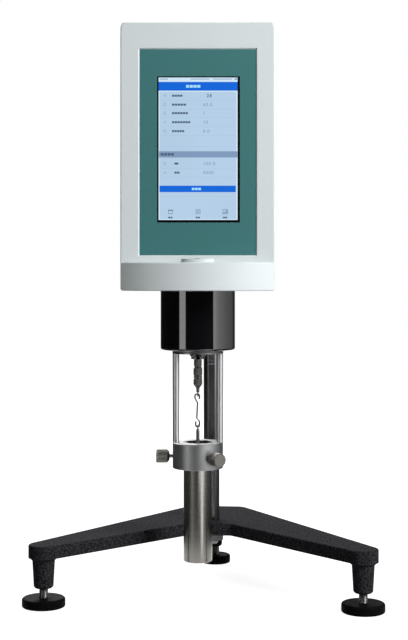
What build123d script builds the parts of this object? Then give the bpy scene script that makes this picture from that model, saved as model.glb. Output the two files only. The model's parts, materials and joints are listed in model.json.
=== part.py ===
from build123d import *
import os
from math import acos, atan2, cos, hypot, pi, radians, sin, sqrt

# Rotational viscometer with a low-viscosity adapter, on a V-shaped stand with levelling feet.
# Millimetres. +X is to the viewer's right, +Y to the back, +Z up; the feet stand on Z = 0.
# The origin is the middle of the footprint. Heights are above the table.
# Depths are counted back from the spindle axis, so a negative depth is in front of it.

# ---------------------------------------------------------------- driving dimensions
SPINDLE_X, SPINDLE_Y = -4.9, -61.65     # spindle axis, from the middle of the footprint
COLUMN_OFFSET, COLUMN_DEPTH = 16.0, 114.0   # column axis, from the spindle axis
BASE_YAW = -3.96                        # the base stands turned by this many degrees under the head

RUNNING_GAP = 0.05                      # radial clearance of a shaft in its bore
BODY_GAP = 0.3                          # clearance between faces that move past each other

# base casting, in its own axes from the column axis
ARM_BOTTOM, ARM_TOP = 53.8, 68.0
TIP_RADIUS = 16.6
HUB_REAR_Y, HUB_REAR_HALF = 94.3, 34.0
HUB_FRONT_Y, HUB_FRONT_HALF = -27.0, 24.7
REAR_CORNER, CROTCH_CORNER, CASTING_EDGE = 15.0, 6.0, 1.5
FRONT_FOOT_X, FRONT_FOOT_Y, REAR_FOOT_Y = 173.7, -161.3, 79.0
SHOULDER_HEIGHT = 50.8
BOSS_BOTTOM, BOSS_ROUND = 20.6, 2.0

# levelling feet; a boss has radii at its shoulder and at the top and foot of its cone
BOSS_RADII = {"left": (16.0, 12.4, 10.8), "right": (16.0, 12.4, 10.8), "rear": (11.0, 9.2, 8.2)}
DISC_RADII = {"left": 23.7, "right": 23.7, "rear": 18.5}
DISC_HEIGHT, DISC_TOP_ROUND, DISC_BOTTOM_ROUND = 10.1, 2.6, 2.0
STUD_RADIUS, STUD_BOTTOM, STUD_TOP, STUD_HOLE_TOP = 4.95, 3.0, 52.0, 62.0

# column with its rack
COLUMN_RADIUS, COLUMN_TOP = 9.5, 596.0
SPIGOT_RADIUS, SPIGOT_BOTTOM = 7.9, 40.0
NUT_RADIUS, NUT_HEIGHT, WASHER_RADIUS, WASHER_HEIGHT = 14.0, 8.0, 16.0, 1.6
GROOVE_WIDTH, GROOVE_FLOOR = 7.6, 4.5   # the floor's distance from the column axis
RACK_BOTTOM, RACK_TOP = 255.0, 588.0
RACK_TIP, RACK_ROOT = 8.4, 6.15         # tooth tips and roots, from the column axis
RACK_TIP_HALF, RACK_ROOT_HALF = 1.20, 0.42   # half widths of a tooth gap at tip and root
MODULE, PINION_TEETH, PINION_WIDTH = 1.0, 16, 6.8
ADDENDUM, DEDENDUM = 0.9, 1.2
TOOTH_ROOT_HALF, TOOTH_FOOT_HALF, TOOTH_TIP_HALF = 0.95, 0.86, 0.28

# sliding clamp
CLAMP_LOW, CLAMP_HIGH = 438.0, 494.0
CLAMP_LEFT, CLAMP_RIGHT = -22.0, 37.0   # from the spindle axis
CLAMP_FRONT, CLAMP_BACK = 84.0, 132.0   # depths
CLAMP_CORNER = 4.0
BUSH_RADIUS = 11.6
PINION_HEIGHT = 456.0
ROD_OFFSET, ROD_HEIGHT, ROD_RADIUS = -5.0, 477.0, 6.0
ROD_START, ROD_END = 60.0, 150.0        # depths of the mounting rod's ends
CLAMP_EDGE, PINION_POCKET = 1.0, 1.6     # chamfer, and room round the pinion's pitch circle
SHAFT_RADIUS, SHAFT_PAST = 4.0, 5.0     # lift shaft, and its stub past the pinion
KNOB_INNER, KNOB_OUTER, KNOB_WALL = 43.0, 61.0, 4.0
LIFT_KNOB_RADIUS, LIFT_KNOB_HUB, LIFT_GRIPS, GRIP_RADIUS, LIFT_KNOB_EDGE = 15.0, 8.0, 10, 2.2, 0.8
LOCK_SCREW_HEIGHT, ROD_LOCK_DEPTH = 477.0, 108.0
LOCK_SHANK, LOCK_KNOB_GAP = 3.0, 3.0
LOCK_KNOB_RADIUS, LOCK_KNOB_LENGTH, LOCK_LOBES, LOBE_RADIUS = 9.0, 12.0, 6, 3.0
FLANGE_RADIUS, FLANGE_SHEET = 23.0, 6.0
FLANGE_SCREW_CIRCLE, FLANGE_SCREW_SHANK = 17.0, 2.0

# head
HEAD_WIDTH, HEAD_BOTTOM, HEAD_TOP = 165.6, 345.4, 633.1
HEAD_FRONT, HEAD_BACK, SEAM = -64.0, 66.0, 46.0
TOP_CORNER_RUN, TOP_CORNER_RISE, LOWER_CORNER = 3.5, 7.8, 3.0
HEAD_EDGE = 1.3
WALL, FRONT_WALL = 3.0, 5.0
CHIN_BULGE, CHIN_TOP, CHIN_EDGE, CHIN_INSET = 24.0, 375.8, 1.2, 0.2
PANEL_LEFT, PANEL_RIGHT, PANEL_BOTTOM, PANEL_TOP = -62.4, 62.8, 383.4, 604.5
PANEL_RECESS, PANEL_SHEET, PANEL_BEVEL = 1.2, 2.0, 1.1
DISPLAY_X, DISPLAY_Z, DISPLAY_WIDTH, DISPLAY_HEIGHT = 1.0, 497.0, 88.8, 156.8
MODULE_MARGIN, MODULE_DEPTH = 4.0, 6.0
LEVEL_DEPTH, LEVEL_LENGTH, LEVEL_BREADTH, LEVEL_RISE = -75.5, 34.5, 18.6, 3.6
LEVEL_RADIUS, LEVEL_SEAT, LEVEL_EDGE, CUP_WALL, CUP_FLOOR = 7.0, 5.0, 0.8, 1.0, 2.0

# collar and the stepped ring below it
COLLAR_RADIUS, COLLAR_BOTTOM, COLLAR_EDGE = 41.7, 279.0, 2.2
FLANGE_TOP_RADIUS, FLANGE_LOW_RADIUS, FLANGE_BOTTOM = 30.2, 28.4, 274.8
CAP_RADIUS, CAP_NOSE, CAP_SHOULDER, CAP_BOTTOM, CAP_TOP = 9.2, 7.5, 272.4, 268.5, 300.0

# drive
LOWER_PLATE, UPPER_PLATE, PLATE_SHEET = 348.4, 400.0, 3.0
PLATE_WIDTH, PLATE_BREADTH = 104.0, 74.0
MOTOR_SIZE, MOTOR_HEIGHT = 42.0, 38.0
DRIVE_RADIUS, PIVOT_RADIUS, DISC_RADIUS = 2.5, 2.0, 24.0
LOWER_DISC, UPPER_DISC, DISC_SHEET = 364.0, 380.0, 1.2

# spindle below the head
COUPLING_TOP, HOOK_TOP = 268.1, 231.9
WIRE_RADIUS = 0.9
EYE_RADIUS, EYE_WIRE = 2.4, 0.8
UPPER_EYE, LOWER_EYE = HOOK_TOP - 2.5, 192.0
ROTOR_RADIUS, ROTOR_TOP, ROTOR_LENGTH, STEM_RADIUS = 12.57, 152.0, 90.7, 1.95

# low-viscosity adapter
POST_RADIUS, POST_X = 3.7, 24.5
RING_RADIUS, RING_BOTTOM, RING_TOP = 28.2, 146.8, 175.5
TUBE_RADIUS, TUBE_BORE, TUBE_BOTTOM = 16.0, 13.81, 42.5
PLUG_LENGTH = 9.0
SCREW_HEIGHT, SCREW_SHANK = 160.0, 2.0
SCREW_TIP, KNOB_START, KNOB_END, KNOB_RADIUS = 16.4, 32.0, 46.7, 7.5
INNER_BEVEL, OUTER_BEVEL = 2.4, 0.7     # chamfers of a thumb screw's knob
SCREW_BEARINGS = {"left": 182.0, "right": 302.0, "rear": 62.0}   # degrees from +X

# rear panel fittings: offset of each from the spindle axis, and their height
FITTING_HEIGHT = 372.0
PROBE_X, USB_X, SWITCH_X, INLET_X = -48.0, -18.0, 16.0, 48.0
PROBE_HOLE, PROBE_RIM, PROBE_BORE, PROBE_PROUD = 7.0, 9.0, 5.0, 3.0
USB_SHELL, USB_MOUTH, USB_TONGUE, USB_PROUD = (12.4, 11.4), (8.4, 7.8), (5.6, 3.2), 0.5
INLET_HOLE, INLET_RIM, INLET_BORE, INLET_PIN, INLET_PROUD = 6.0, 8.0, 4.2, 1.25, 2.0
SWITCH_HOLE, SWITCH_RIM, SWITCH_POCKET, SWITCH_PROUD = (13.0, 19.0), (15.0, 21.0), (9.6, 15.6), 1.5
HOUSING_SCREW_SHANK, SCREW_POST_RADIUS = 1.6, 5.0
VENT_LENGTH, VENT_WIDTH = 40.0, 2.6

COLUMN_X, COLUMN_Y = SPINDLE_X + COLUMN_OFFSET, SPINDLE_Y + COLUMN_DEPTH
# feet in the base's own axes
FEET = {"left": (-FRONT_FOOT_X, FRONT_FOOT_Y), "right": (FRONT_FOOT_X, FRONT_FOOT_Y),
        "rear": (0.0, REAR_FOOT_Y)}


# ---------------------------------------------------------------- planes and helpers
def spindle_plane(height):
    """Level plane centred on the spindle axis."""
    return Plane((SPINDLE_X, SPINDLE_Y, height))


def column_plane(height):
    """Level plane centred on the column axis."""
    return Plane((COLUMN_X, COLUMN_Y, height))


def base_plane(height):
    """Level plane centred on the column axis and turned with the base."""
    yaw = radians(BASE_YAW)
    return Plane((COLUMN_X, COLUMN_Y, height), x_dir=(cos(yaw), sin(yaw), 0), z_dir=(0, 0, 1))


def front_plane(depth):
    """Upright plane facing the front: its axes are X from the spindle axis, and height."""
    return Plane((SPINDLE_X, SPINDLE_Y + depth, 0), x_dir=(1, 0, 0), z_dir=(0, -1, 0))


def side_plane(offset):
    """Upright plane facing +X: its axes are depth and height."""
    return Plane((SPINDLE_X + offset, SPINDLE_Y, 0), x_dir=(0, 1, 0), z_dir=(1, 0, 0))


def base_point(x, y):
    """Place on the floor of a point given in the base's own axes."""
    point = base_plane(0).from_local_coords(Vector(x, y, 0))
    return point.X, point.Y


def turn(outline, x=SPINDLE_X, y=SPINDLE_Y, mode=Mode.ADD):
    """Turned solid: a closed (radius, height) outline swept round the upright axis at (x, y)."""
    with BuildSketch(Plane((x, y, 0), x_dir=(1, 0, 0), z_dir=(0, -1, 0))) as profile:
        with BuildLine():
            Polyline(*outline, close=True)
        make_face()
    revolve(profile.sketch, axis=Axis((x, y, 0), (0, 0, 1)), mode=mode)


def ring_outline(inner, outer, low, high):
    """Outline of a plain ring for turn()."""
    return [(inner, low), (outer, low), (outer, high), (inner, high)]


def head_outline(inset):
    """Front view of the head, shrunk by inset: round lower corners, taller round upper ones."""
    half = HEAD_WIDTH / 2 - inset
    low, high = HEAD_BOTTOM + inset, HEAD_TOP - inset
    bend_x, bend_z = half - TOP_CORNER_RUN, high - TOP_CORNER_RISE
    with BuildLine() as outline:
        EllipticalCenterArc((bend_x, bend_z), TOP_CORNER_RUN, TOP_CORNER_RISE, 0, arc_size=90)
        Line((bend_x, high), (-bend_x, high))
        EllipticalCenterArc((-bend_x, bend_z), TOP_CORNER_RUN, TOP_CORNER_RISE, 90, arc_size=90)
        Polyline((-half, bend_z), (-half, low), (half, low), (half, bend_z))
    make_face(outline.edges())


def chin_outline(inset):
    """Plan of the chin: a shallow bow in front of the head's face, a little narrower than the head."""
    half = HEAD_WIDTH / 2 - CHIN_INSET - inset
    bow = HEAD_FRONT - CHIN_BULGE + inset
    root = HEAD_FRONT + FRONT_WALL + 1
    with BuildLine() as outline:
        ThreePointArc((-half, HEAD_FRONT + inset), (0, bow), (half, HEAD_FRONT + inset))
        Polyline((half, HEAD_FRONT + inset), (half, root), (-half, root), (-half, HEAD_FRONT + inset))
    make_face(outline.edges())


def screw(plane, places, shank, length, head, head_height, outward=1):
    """Round-headed screws: the heads stand out of the plane, the shanks go in behind it."""
    for radius, amount in ((head, outward * head_height), (shank, -outward * length)):
        with BuildSketch(plane) as section:
            with Locations(*places):
                Circle(radius)
        extrude(section.sketch, amount=amount)


def write(part, name):
    """Labels a finished piece and writes its STEP file."""
    part.part.label = name
    export_step(part.part, f"parts/{name}.step")


os.makedirs("parts", exist_ok=True)

# ---------------------------------------------------------------- stand: base casting
def tip_point(angle):
    """Point on the right arm's round tip, in the base's own axes."""
    return FRONT_FOOT_X + TIP_RADIUS * cos(angle), FRONT_FOOT_Y + TIP_RADIUS * sin(angle)


def touch_angle(x, y, side):
    """Angle at which a straight edge from (x, y) touches the round tip."""
    reach_x, reach_y = x - FRONT_FOOT_X, y - FRONT_FOOT_Y
    return atan2(reach_y, reach_x) + side * acos(TIP_RADIUS / hypot(reach_x, reach_y))


with BuildPart() as base_casting:
    outer = touch_angle(HUB_REAR_HALF, HUB_REAR_Y, -1)
    inner = touch_angle(HUB_FRONT_HALF, HUB_FRONT_Y, 1) - 2 * pi
    with BuildSketch(base_plane(ARM_BOTTOM)) as casting_plan:
        with BuildLine():
            Polyline((0, HUB_FRONT_Y), (0, HUB_REAR_Y), (HUB_REAR_HALF, HUB_REAR_Y), tip_point(outer))
            ThreePointArc(tip_point(outer), tip_point((outer + inner) / 2), tip_point(inner))
            Polyline(tip_point(inner), (HUB_FRONT_HALF, HUB_FRONT_Y), (0, HUB_FRONT_Y))
        make_face()
        fillet(casting_plan.vertices().sort_by_distance((HUB_REAR_HALF, HUB_REAR_Y))[0], REAR_CORNER)
        fillet(casting_plan.vertices().sort_by_distance((HUB_FRONT_HALF, HUB_FRONT_Y))[0], CROTCH_CORNER)
        mirror(about=Plane.YZ)
    extrude(amount=ARM_TOP - ARM_BOTTOM)
    fillet(base_casting.faces().sort_by(Axis.Z)[-1].edges(), CASTING_EDGE)
    for foot_name, place in FEET.items():
        shoulder, cone_top, cone_foot = BOSS_RADII[foot_name]
        x, y = base_point(*place)
        turn([(0, ARM_BOTTOM + 1), (shoulder, ARM_BOTTOM + 1), (shoulder, ARM_BOTTOM),
              (cone_top, SHOULDER_HEIGHT), (cone_foot, BOSS_BOTTOM + BOSS_ROUND),
              (cone_foot - BOSS_ROUND / 2, BOSS_BOTTOM + BOSS_ROUND / 3),
              (cone_foot - BOSS_ROUND, BOSS_BOTTOM), (0, BOSS_BOTTOM)], x, y)
    with BuildSketch(base_plane(BOSS_BOTTOM)):
        with Locations(*FEET.values()):
            Circle(STUD_RADIUS + RUNNING_GAP)
    extrude(amount=STUD_HOLE_TOP - BOSS_BOTTOM, mode=Mode.SUBTRACT)
    with BuildSketch(base_plane(ARM_BOTTOM)):
        Circle(SPIGOT_RADIUS + RUNNING_GAP)
    extrude(amount=ARM_TOP - ARM_BOTTOM, mode=Mode.SUBTRACT)
write(base_casting, "base_casting")

# ---------------------------------------------------------------- stand: levelling feet
for foot_name, place in FEET.items():
    x, y = base_point(*place)
    with BuildPart() as foot_stud:
        turn([(0, STUD_BOTTOM), (STUD_RADIUS, STUD_BOTTOM), (STUD_RADIUS, STUD_TOP - 1),
              (STUD_RADIUS - 1, STUD_TOP), (0, STUD_TOP)], x, y)
    write(foot_stud, f"foot_stud_{foot_name}")

    with BuildPart() as foot_disc:
        turn(ring_outline(0, DISC_RADII[foot_name], 0, DISC_HEIGHT), x, y)
        fillet(foot_disc.edges().group_by(Axis.Z)[-1], DISC_TOP_ROUND)
        fillet(foot_disc.edges().group_by(Axis.Z)[0], DISC_BOTTOM_ROUND)
        turn(ring_outline(0, STUD_RADIUS + RUNNING_GAP, STUD_BOTTOM - BODY_GAP, DISC_HEIGHT), x, y,
             Mode.SUBTRACT)
    write(foot_disc, f"foot_disc_{foot_name}")

# ---------------------------------------------------------------- stand: column
with BuildPart() as column:
    shoulder = ARM_TOP + BODY_GAP
    turn([(0, SPIGOT_BOTTOM), (SPIGOT_RADIUS - 1, SPIGOT_BOTTOM), (SPIGOT_RADIUS, SPIGOT_BOTTOM + 1),
          (SPIGOT_RADIUS, shoulder), (COLUMN_RADIUS, shoulder), (COLUMN_RADIUS, COLUMN_TOP),
          (0, COLUMN_TOP)], COLUMN_X, COLUMN_Y)
    with BuildSketch(column_plane(shoulder)):
        with Locations((0, -(GROOVE_FLOOR + COLUMN_RADIUS) / 2)):
            Rectangle(GROOVE_WIDTH, COLUMN_RADIUS - GROOVE_FLOOR)
    extrude(amount=COLUMN_TOP - shoulder, mode=Mode.SUBTRACT)
write(column, "column")

with BuildPart() as column_nut:
    nut_top = ARM_BOTTOM - BODY_GAP
    with BuildSketch(base_plane(nut_top)):
        Circle(WASHER_RADIUS)
    extrude(amount=-WASHER_HEIGHT)
    with BuildSketch(base_plane(nut_top - WASHER_HEIGHT)):
        RegularPolygon(NUT_RADIUS, 6)
    extrude(amount=-NUT_HEIGHT)
    with BuildSketch(base_plane(nut_top)):
        Circle(SPIGOT_RADIUS)
    extrude(amount=-(WASHER_HEIGHT + NUT_HEIGHT), mode=Mode.SUBTRACT)
write(column_nut, "column_nut")

with BuildPart() as column_rack:
    pitch = pi * MODULE
    tooth_count = int((RACK_TOP - RACK_BOTTOM) / pitch) - 1
    # one tooth gap is centred on the pinion's height, so that a pinion tooth sits in it
    first_gap = PINION_HEIGHT - pitch * int((PINION_HEIGHT - RACK_BOTTOM) / pitch - 0.5)
    with BuildSketch(Plane((COLUMN_X - GROOVE_WIDTH / 2, COLUMN_Y, 0), x_dir=(0, 1, 0), z_dir=(1, 0, 0))):
        with BuildLine():
            outline = [(-GROOVE_FLOOR, RACK_BOTTOM), (-RACK_TIP, RACK_BOTTOM)]
            for tooth in range(tooth_count):
                centre = first_gap + tooth * pitch
                outline += [(-RACK_TIP, centre - RACK_TIP_HALF), (-RACK_ROOT, centre - RACK_ROOT_HALF),
                            (-RACK_ROOT, centre + RACK_ROOT_HALF), (-RACK_TIP, centre + RACK_TIP_HALF)]
            outline += [(-RACK_TIP, RACK_TOP), (-GROOVE_FLOOR, RACK_TOP)]
            Polyline(*outline, close=True)
        make_face()
    extrude(amount=GROOVE_WIDTH)
write(column_rack, "column_rack")

with BuildPart() as column_cap:
    turn([(0, COLUMN_TOP), (COLUMN_RADIUS - 0.4, COLUMN_TOP), (COLUMN_RADIUS - 0.4, COLUMN_TOP + 2.4),
          (COLUMN_RADIUS - 2, COLUMN_TOP + 4), (0, COLUMN_TOP + 4)], COLUMN_X, COLUMN_Y)
write(column_cap, "column_cap")

# ---------------------------------------------------------------- clamp that climbs the column
PITCH_RADIUS = MODULE * PINION_TEETH / 2
PINION_DEPTH = COLUMN_DEPTH - RACK_TIP + MODULE - PITCH_RADIUS
PINION_FACE = (COLUMN_OFFSET - PINION_WIDTH / 2, COLUMN_OFFSET + PINION_WIDTH / 2)

with BuildPart() as clamp_block:
    with BuildSketch(spindle_plane(CLAMP_LOW)):
        with Locations(((CLAMP_LEFT + CLAMP_RIGHT) / 2, (CLAMP_FRONT + CLAMP_BACK) / 2)):
            RectangleRounded(CLAMP_RIGHT - CLAMP_LEFT, CLAMP_BACK - CLAMP_FRONT, CLAMP_CORNER)
    extrude(amount=CLAMP_HIGH - CLAMP_LOW)
    chamfer(clamp_block.faces().filter_by(Axis.Z).edges(), CLAMP_EDGE)
    with BuildSketch(column_plane(CLAMP_LOW)):
        Circle(BUSH_RADIUS)
    extrude(amount=CLAMP_HIGH - CLAMP_LOW, mode=Mode.SUBTRACT)
    with BuildSketch(front_plane(CLAMP_BACK)):
        with Locations((ROD_OFFSET, ROD_HEIGHT)):
            Circle(ROD_RADIUS + RUNNING_GAP)
    extrude(amount=CLAMP_BACK - CLAMP_FRONT, mode=Mode.SUBTRACT)
    # pinion pocket, open into the column bore, and the pinion shaft's bore to the right side
    with BuildSketch(side_plane(PINION_FACE[0] - BODY_GAP)):
        with Locations((PINION_DEPTH, PINION_HEIGHT)):
            Circle(PITCH_RADIUS + PINION_POCKET)
    extrude(amount=PINION_FACE[1] - PINION_FACE[0] + 2 * BODY_GAP, mode=Mode.SUBTRACT)
    with BuildSketch(side_plane(PINION_FACE[0] - SHAFT_PAST)):
        with Locations((PINION_DEPTH, PINION_HEIGHT)):
            Circle(SHAFT_RADIUS + RUNNING_GAP)
    extrude(amount=CLAMP_RIGHT - PINION_FACE[0] + SHAFT_PAST, mode=Mode.SUBTRACT)
    # bores of the two lock screws
    with BuildSketch(side_plane(COLUMN_OFFSET + BUSH_RADIUS - 1)):
        with Locations((COLUMN_DEPTH, LOCK_SCREW_HEIGHT)):
            Circle(LOCK_SHANK + RUNNING_GAP)
    extrude(amount=CLAMP_RIGHT - COLUMN_OFFSET - BUSH_RADIUS + 1, mode=Mode.SUBTRACT)
    with BuildSketch(side_plane(CLAMP_LEFT)):
        with Locations((ROD_LOCK_DEPTH, ROD_HEIGHT)):
            Circle(LOCK_SHANK + RUNNING_GAP)
    extrude(amount=ROD_OFFSET - CLAMP_LEFT, mode=Mode.SUBTRACT)
write(clamp_block, "clamp_block")

with BuildPart() as clamp_bush:
    turn(ring_outline(COLUMN_RADIUS + RUNNING_GAP, BUSH_RADIUS, CLAMP_LOW, CLAMP_HIGH), COLUMN_X, COLUMN_Y)
    # window in front for the pinion
    with BuildSketch(front_plane(COLUMN_DEPTH)):
        with Locations((COLUMN_OFFSET, PINION_HEIGHT)):
            Rectangle(PINION_WIDTH + 2, 2 * PITCH_RADIUS + 1)
    extrude(amount=BUSH_RADIUS + 1, mode=Mode.SUBTRACT)
write(clamp_bush, "clamp_bush")

with BuildPart() as lift_pinion:
    tip, root = PITCH_RADIUS + ADDENDUM * MODULE, PITCH_RADIUS - DEDENDUM * MODULE
    foot = root + 0.4
    with BuildSketch(side_plane(PINION_FACE[0])):
        with Locations((PINION_DEPTH, PINION_HEIGHT)):
            Circle(root)
        with Locations((PINION_DEPTH, PINION_HEIGHT)):
            with PolarLocations(0, PINION_TEETH):
                Polygon((root - 1, -TOOTH_ROOT_HALF), (foot, -TOOTH_FOOT_HALF), (tip, -TOOTH_TIP_HALF),
                        (tip, TOOTH_TIP_HALF), (foot, TOOTH_FOOT_HALF), (root - 1, TOOTH_ROOT_HALF),
                        align=None)
    extrude(amount=PINION_WIDTH)
    shaft_start, shaft_end = PINION_FACE[0] - SHAFT_PAST + BODY_GAP, KNOB_OUTER - KNOB_WALL
    with BuildSketch(side_plane(shaft_start)):
        with Locations((PINION_DEPTH, PINION_HEIGHT)):
            Circle(SHAFT_RADIUS)
    extrude(amount=shaft_end - shaft_start)
write(lift_pinion, "lift_pinion")

with BuildPart() as lift_knob:
    with BuildSketch(side_plane(KNOB_INNER)):
        with Locations((PINION_DEPTH, PINION_HEIGHT)):
            Circle(LIFT_KNOB_RADIUS)
            with PolarLocations(LIFT_KNOB_RADIUS + 0.6, LIFT_GRIPS):
                Circle(GRIP_RADIUS, mode=Mode.SUBTRACT)
    extrude(amount=KNOB_OUTER - KNOB_INNER)
    fillet(lift_knob.faces().sort_by(Axis.X)[-1].edges(), LIFT_KNOB_EDGE)
    with BuildSketch(side_plane(CLAMP_RIGHT + BODY_GAP)):
        with Locations((PINION_DEPTH, PINION_HEIGHT)):
            Circle(LIFT_KNOB_HUB)
    extrude(amount=KNOB_INNER - CLAMP_RIGHT - BODY_GAP)
    with BuildSketch(side_plane(CLAMP_RIGHT + BODY_GAP)):
        with Locations((PINION_DEPTH, PINION_HEIGHT)):
            Circle(SHAFT_RADIUS)
    extrude(amount=shaft_end - CLAMP_RIGHT - BODY_GAP, mode=Mode.SUBTRACT)
write(lift_knob, "lift_knob")


def lock_screw(side, tip_x, face_x, depth, height):
    """Hand screw along X: a shank from its tip, and a lobed knob outside the clamp's face."""
    with BuildSketch(side_plane(tip_x)) as shank:
        with Locations((depth, height)):
            Circle(LOCK_SHANK)
    extrude(shank.sketch, amount=face_x - tip_x + side * LOCK_KNOB_GAP)
    with BuildSketch(side_plane(face_x + side * LOCK_KNOB_GAP)) as knob:
        with Locations((depth, height)):
            Circle(LOCK_KNOB_RADIUS)
            with PolarLocations(LOCK_KNOB_RADIUS + 1.2, LOCK_LOBES):
                Circle(LOBE_RADIUS, mode=Mode.SUBTRACT)
    extrude(knob.sketch, amount=side * LOCK_KNOB_LENGTH)


with BuildPart() as column_lock_screw:
    lock_screw(1, COLUMN_OFFSET + BUSH_RADIUS + BODY_GAP, CLAMP_RIGHT, COLUMN_DEPTH, LOCK_SCREW_HEIGHT)
write(column_lock_screw, "column_lock_screw")

with BuildPart() as rod_lock_screw:
    lock_screw(-1, ROD_OFFSET - ROD_RADIUS - BODY_GAP, CLAMP_LEFT, ROD_LOCK_DEPTH, ROD_HEIGHT)
write(rod_lock_screw, "rod_lock_screw")

# ---------------------------------------------------------------- head: rod that carries it
with BuildPart() as mounting_rod:
    with BuildSketch(front_plane(ROD_END)):
        with Locations((ROD_OFFSET, ROD_HEIGHT)):
            Circle(ROD_RADIUS)
    extrude(amount=ROD_END - ROD_START)
    chamfer(mounting_rod.edges().sort_by(Axis.Y)[-1], 1)
write(mounting_rod, "mounting_rod")

FLANGE_SCREWS = [(ROD_OFFSET + FLANGE_SCREW_CIRCLE * cos(radians(angle)),
                  ROD_HEIGHT + FLANGE_SCREW_CIRCLE * sin(radians(angle)))
                 for angle in (45, 135, 225, 315)]
with BuildPart() as mounting_flange:
    with BuildSketch(front_plane(HEAD_BACK + FLANGE_SHEET)):
        with Locations((ROD_OFFSET, ROD_HEIGHT)):
            Circle(FLANGE_RADIUS)
            Circle(ROD_RADIUS, mode=Mode.SUBTRACT)
        with Locations(*FLANGE_SCREWS):
            Circle(FLANGE_SCREW_SHANK, mode=Mode.SUBTRACT)
    extrude(amount=FLANGE_SHEET)
write(mounting_flange, "mounting_flange")

# ---------------------------------------------------------------- head: shells
with BuildPart() as front_housing:
    with BuildSketch(front_plane(SEAM)) as front_view:
        head_outline(0)
        fillet(front_view.vertices().group_by(Axis.Y)[0], LOWER_CORNER)
    extrude(amount=SEAM - HEAD_FRONT)
    fillet(front_housing.faces().sort_by(Axis.Y)[0].edges(), HEAD_EDGE)
    with BuildSketch(spindle_plane(HEAD_BOTTOM)):
        chin_outline(0)
    extrude(amount=CHIN_TOP - HEAD_BOTTOM)
    bow_edges = front_housing.edges().filter_by(GeomType.CIRCLE).filter_by(
        lambda edge: edge.radius > HEAD_WIDTH / 2)
    fillet(bow_edges, CHIN_EDGE)
    # the chin's lower corners follow the head's front view
    with BuildSketch(front_plane(SEAM)) as front_view:
        head_outline(0)
        fillet(front_view.vertices().group_by(Axis.Y)[0], LOWER_CORNER)
    extrude(amount=SEAM - HEAD_FRONT + CHIN_BULGE + 1, mode=Mode.INTERSECT)
    # raised oval pad that holds the level
    with BuildSketch(spindle_plane(CHIN_TOP)):
        with Locations((0, LEVEL_DEPTH)):
            Ellipse(LEVEL_LENGTH / 2, LEVEL_BREADTH / 2)
    extrude(amount=LEVEL_RISE)
    fillet(front_housing.edges().filter_by(GeomType.ELLIPSE).sort_by(Axis.Z)[-1], LEVEL_EDGE)
    # hollow inside, open at the seam, also behind the chin
    with BuildSketch(front_plane(SEAM)):
        head_outline(WALL)
    extrude(amount=SEAM - HEAD_FRONT - FRONT_WALL, mode=Mode.SUBTRACT)
    with BuildSketch(spindle_plane(HEAD_BOTTOM + WALL)):
        chin_outline(WALL)
    extrude(amount=CHIN_TOP - HEAD_BOTTOM - 2 * WALL, mode=Mode.SUBTRACT)
    # recess for the panel with a bevelled rim, and the display window behind it
    panel_centre = ((PANEL_LEFT + PANEL_RIGHT) / 2, (PANEL_BOTTOM + PANEL_TOP) / 2)
    panel_size = (PANEL_RIGHT - PANEL_LEFT, PANEL_TOP - PANEL_BOTTOM)
    with BuildSketch(front_plane(HEAD_FRONT)):
        with Locations(panel_centre):
            Rectangle(*panel_size)
    extrude(amount=-(PANEL_RECESS + PANEL_SHEET), mode=Mode.SUBTRACT)
    rim = front_housing.faces().sort_by(Axis.Y).filter_by(Axis.Y).filter_by(
        lambda face: abs(face.center().Y - (SPINDLE_Y + HEAD_FRONT)) < 0.01)[0].inner_wires()[0]
    chamfer(rim.edges(), PANEL_BEVEL)
    with BuildSketch(front_plane(HEAD_FRONT)):
        with Locations((DISPLAY_X, DISPLAY_Z)):
            Rectangle(DISPLAY_WIDTH + 2 * MODULE_MARGIN, DISPLAY_HEIGHT + 2 * MODULE_MARGIN)
    extrude(amount=-(FRONT_WALL + 1), mode=Mode.SUBTRACT)
    # hole over the collar, and the level's seat
    with BuildSketch(spindle_plane(HEAD_BOTTOM)):
        Circle(COLLAR_RADIUS - WALL)
    extrude(amount=WALL, mode=Mode.SUBTRACT)
    with BuildSketch(spindle_plane(CHIN_TOP + LEVEL_RISE)):
        with Locations((0, LEVEL_DEPTH)):
            Circle(LEVEL_RADIUS)
    extrude(amount=-LEVEL_SEAT, mode=Mode.SUBTRACT)
write(front_housing, "front_housing")

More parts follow.
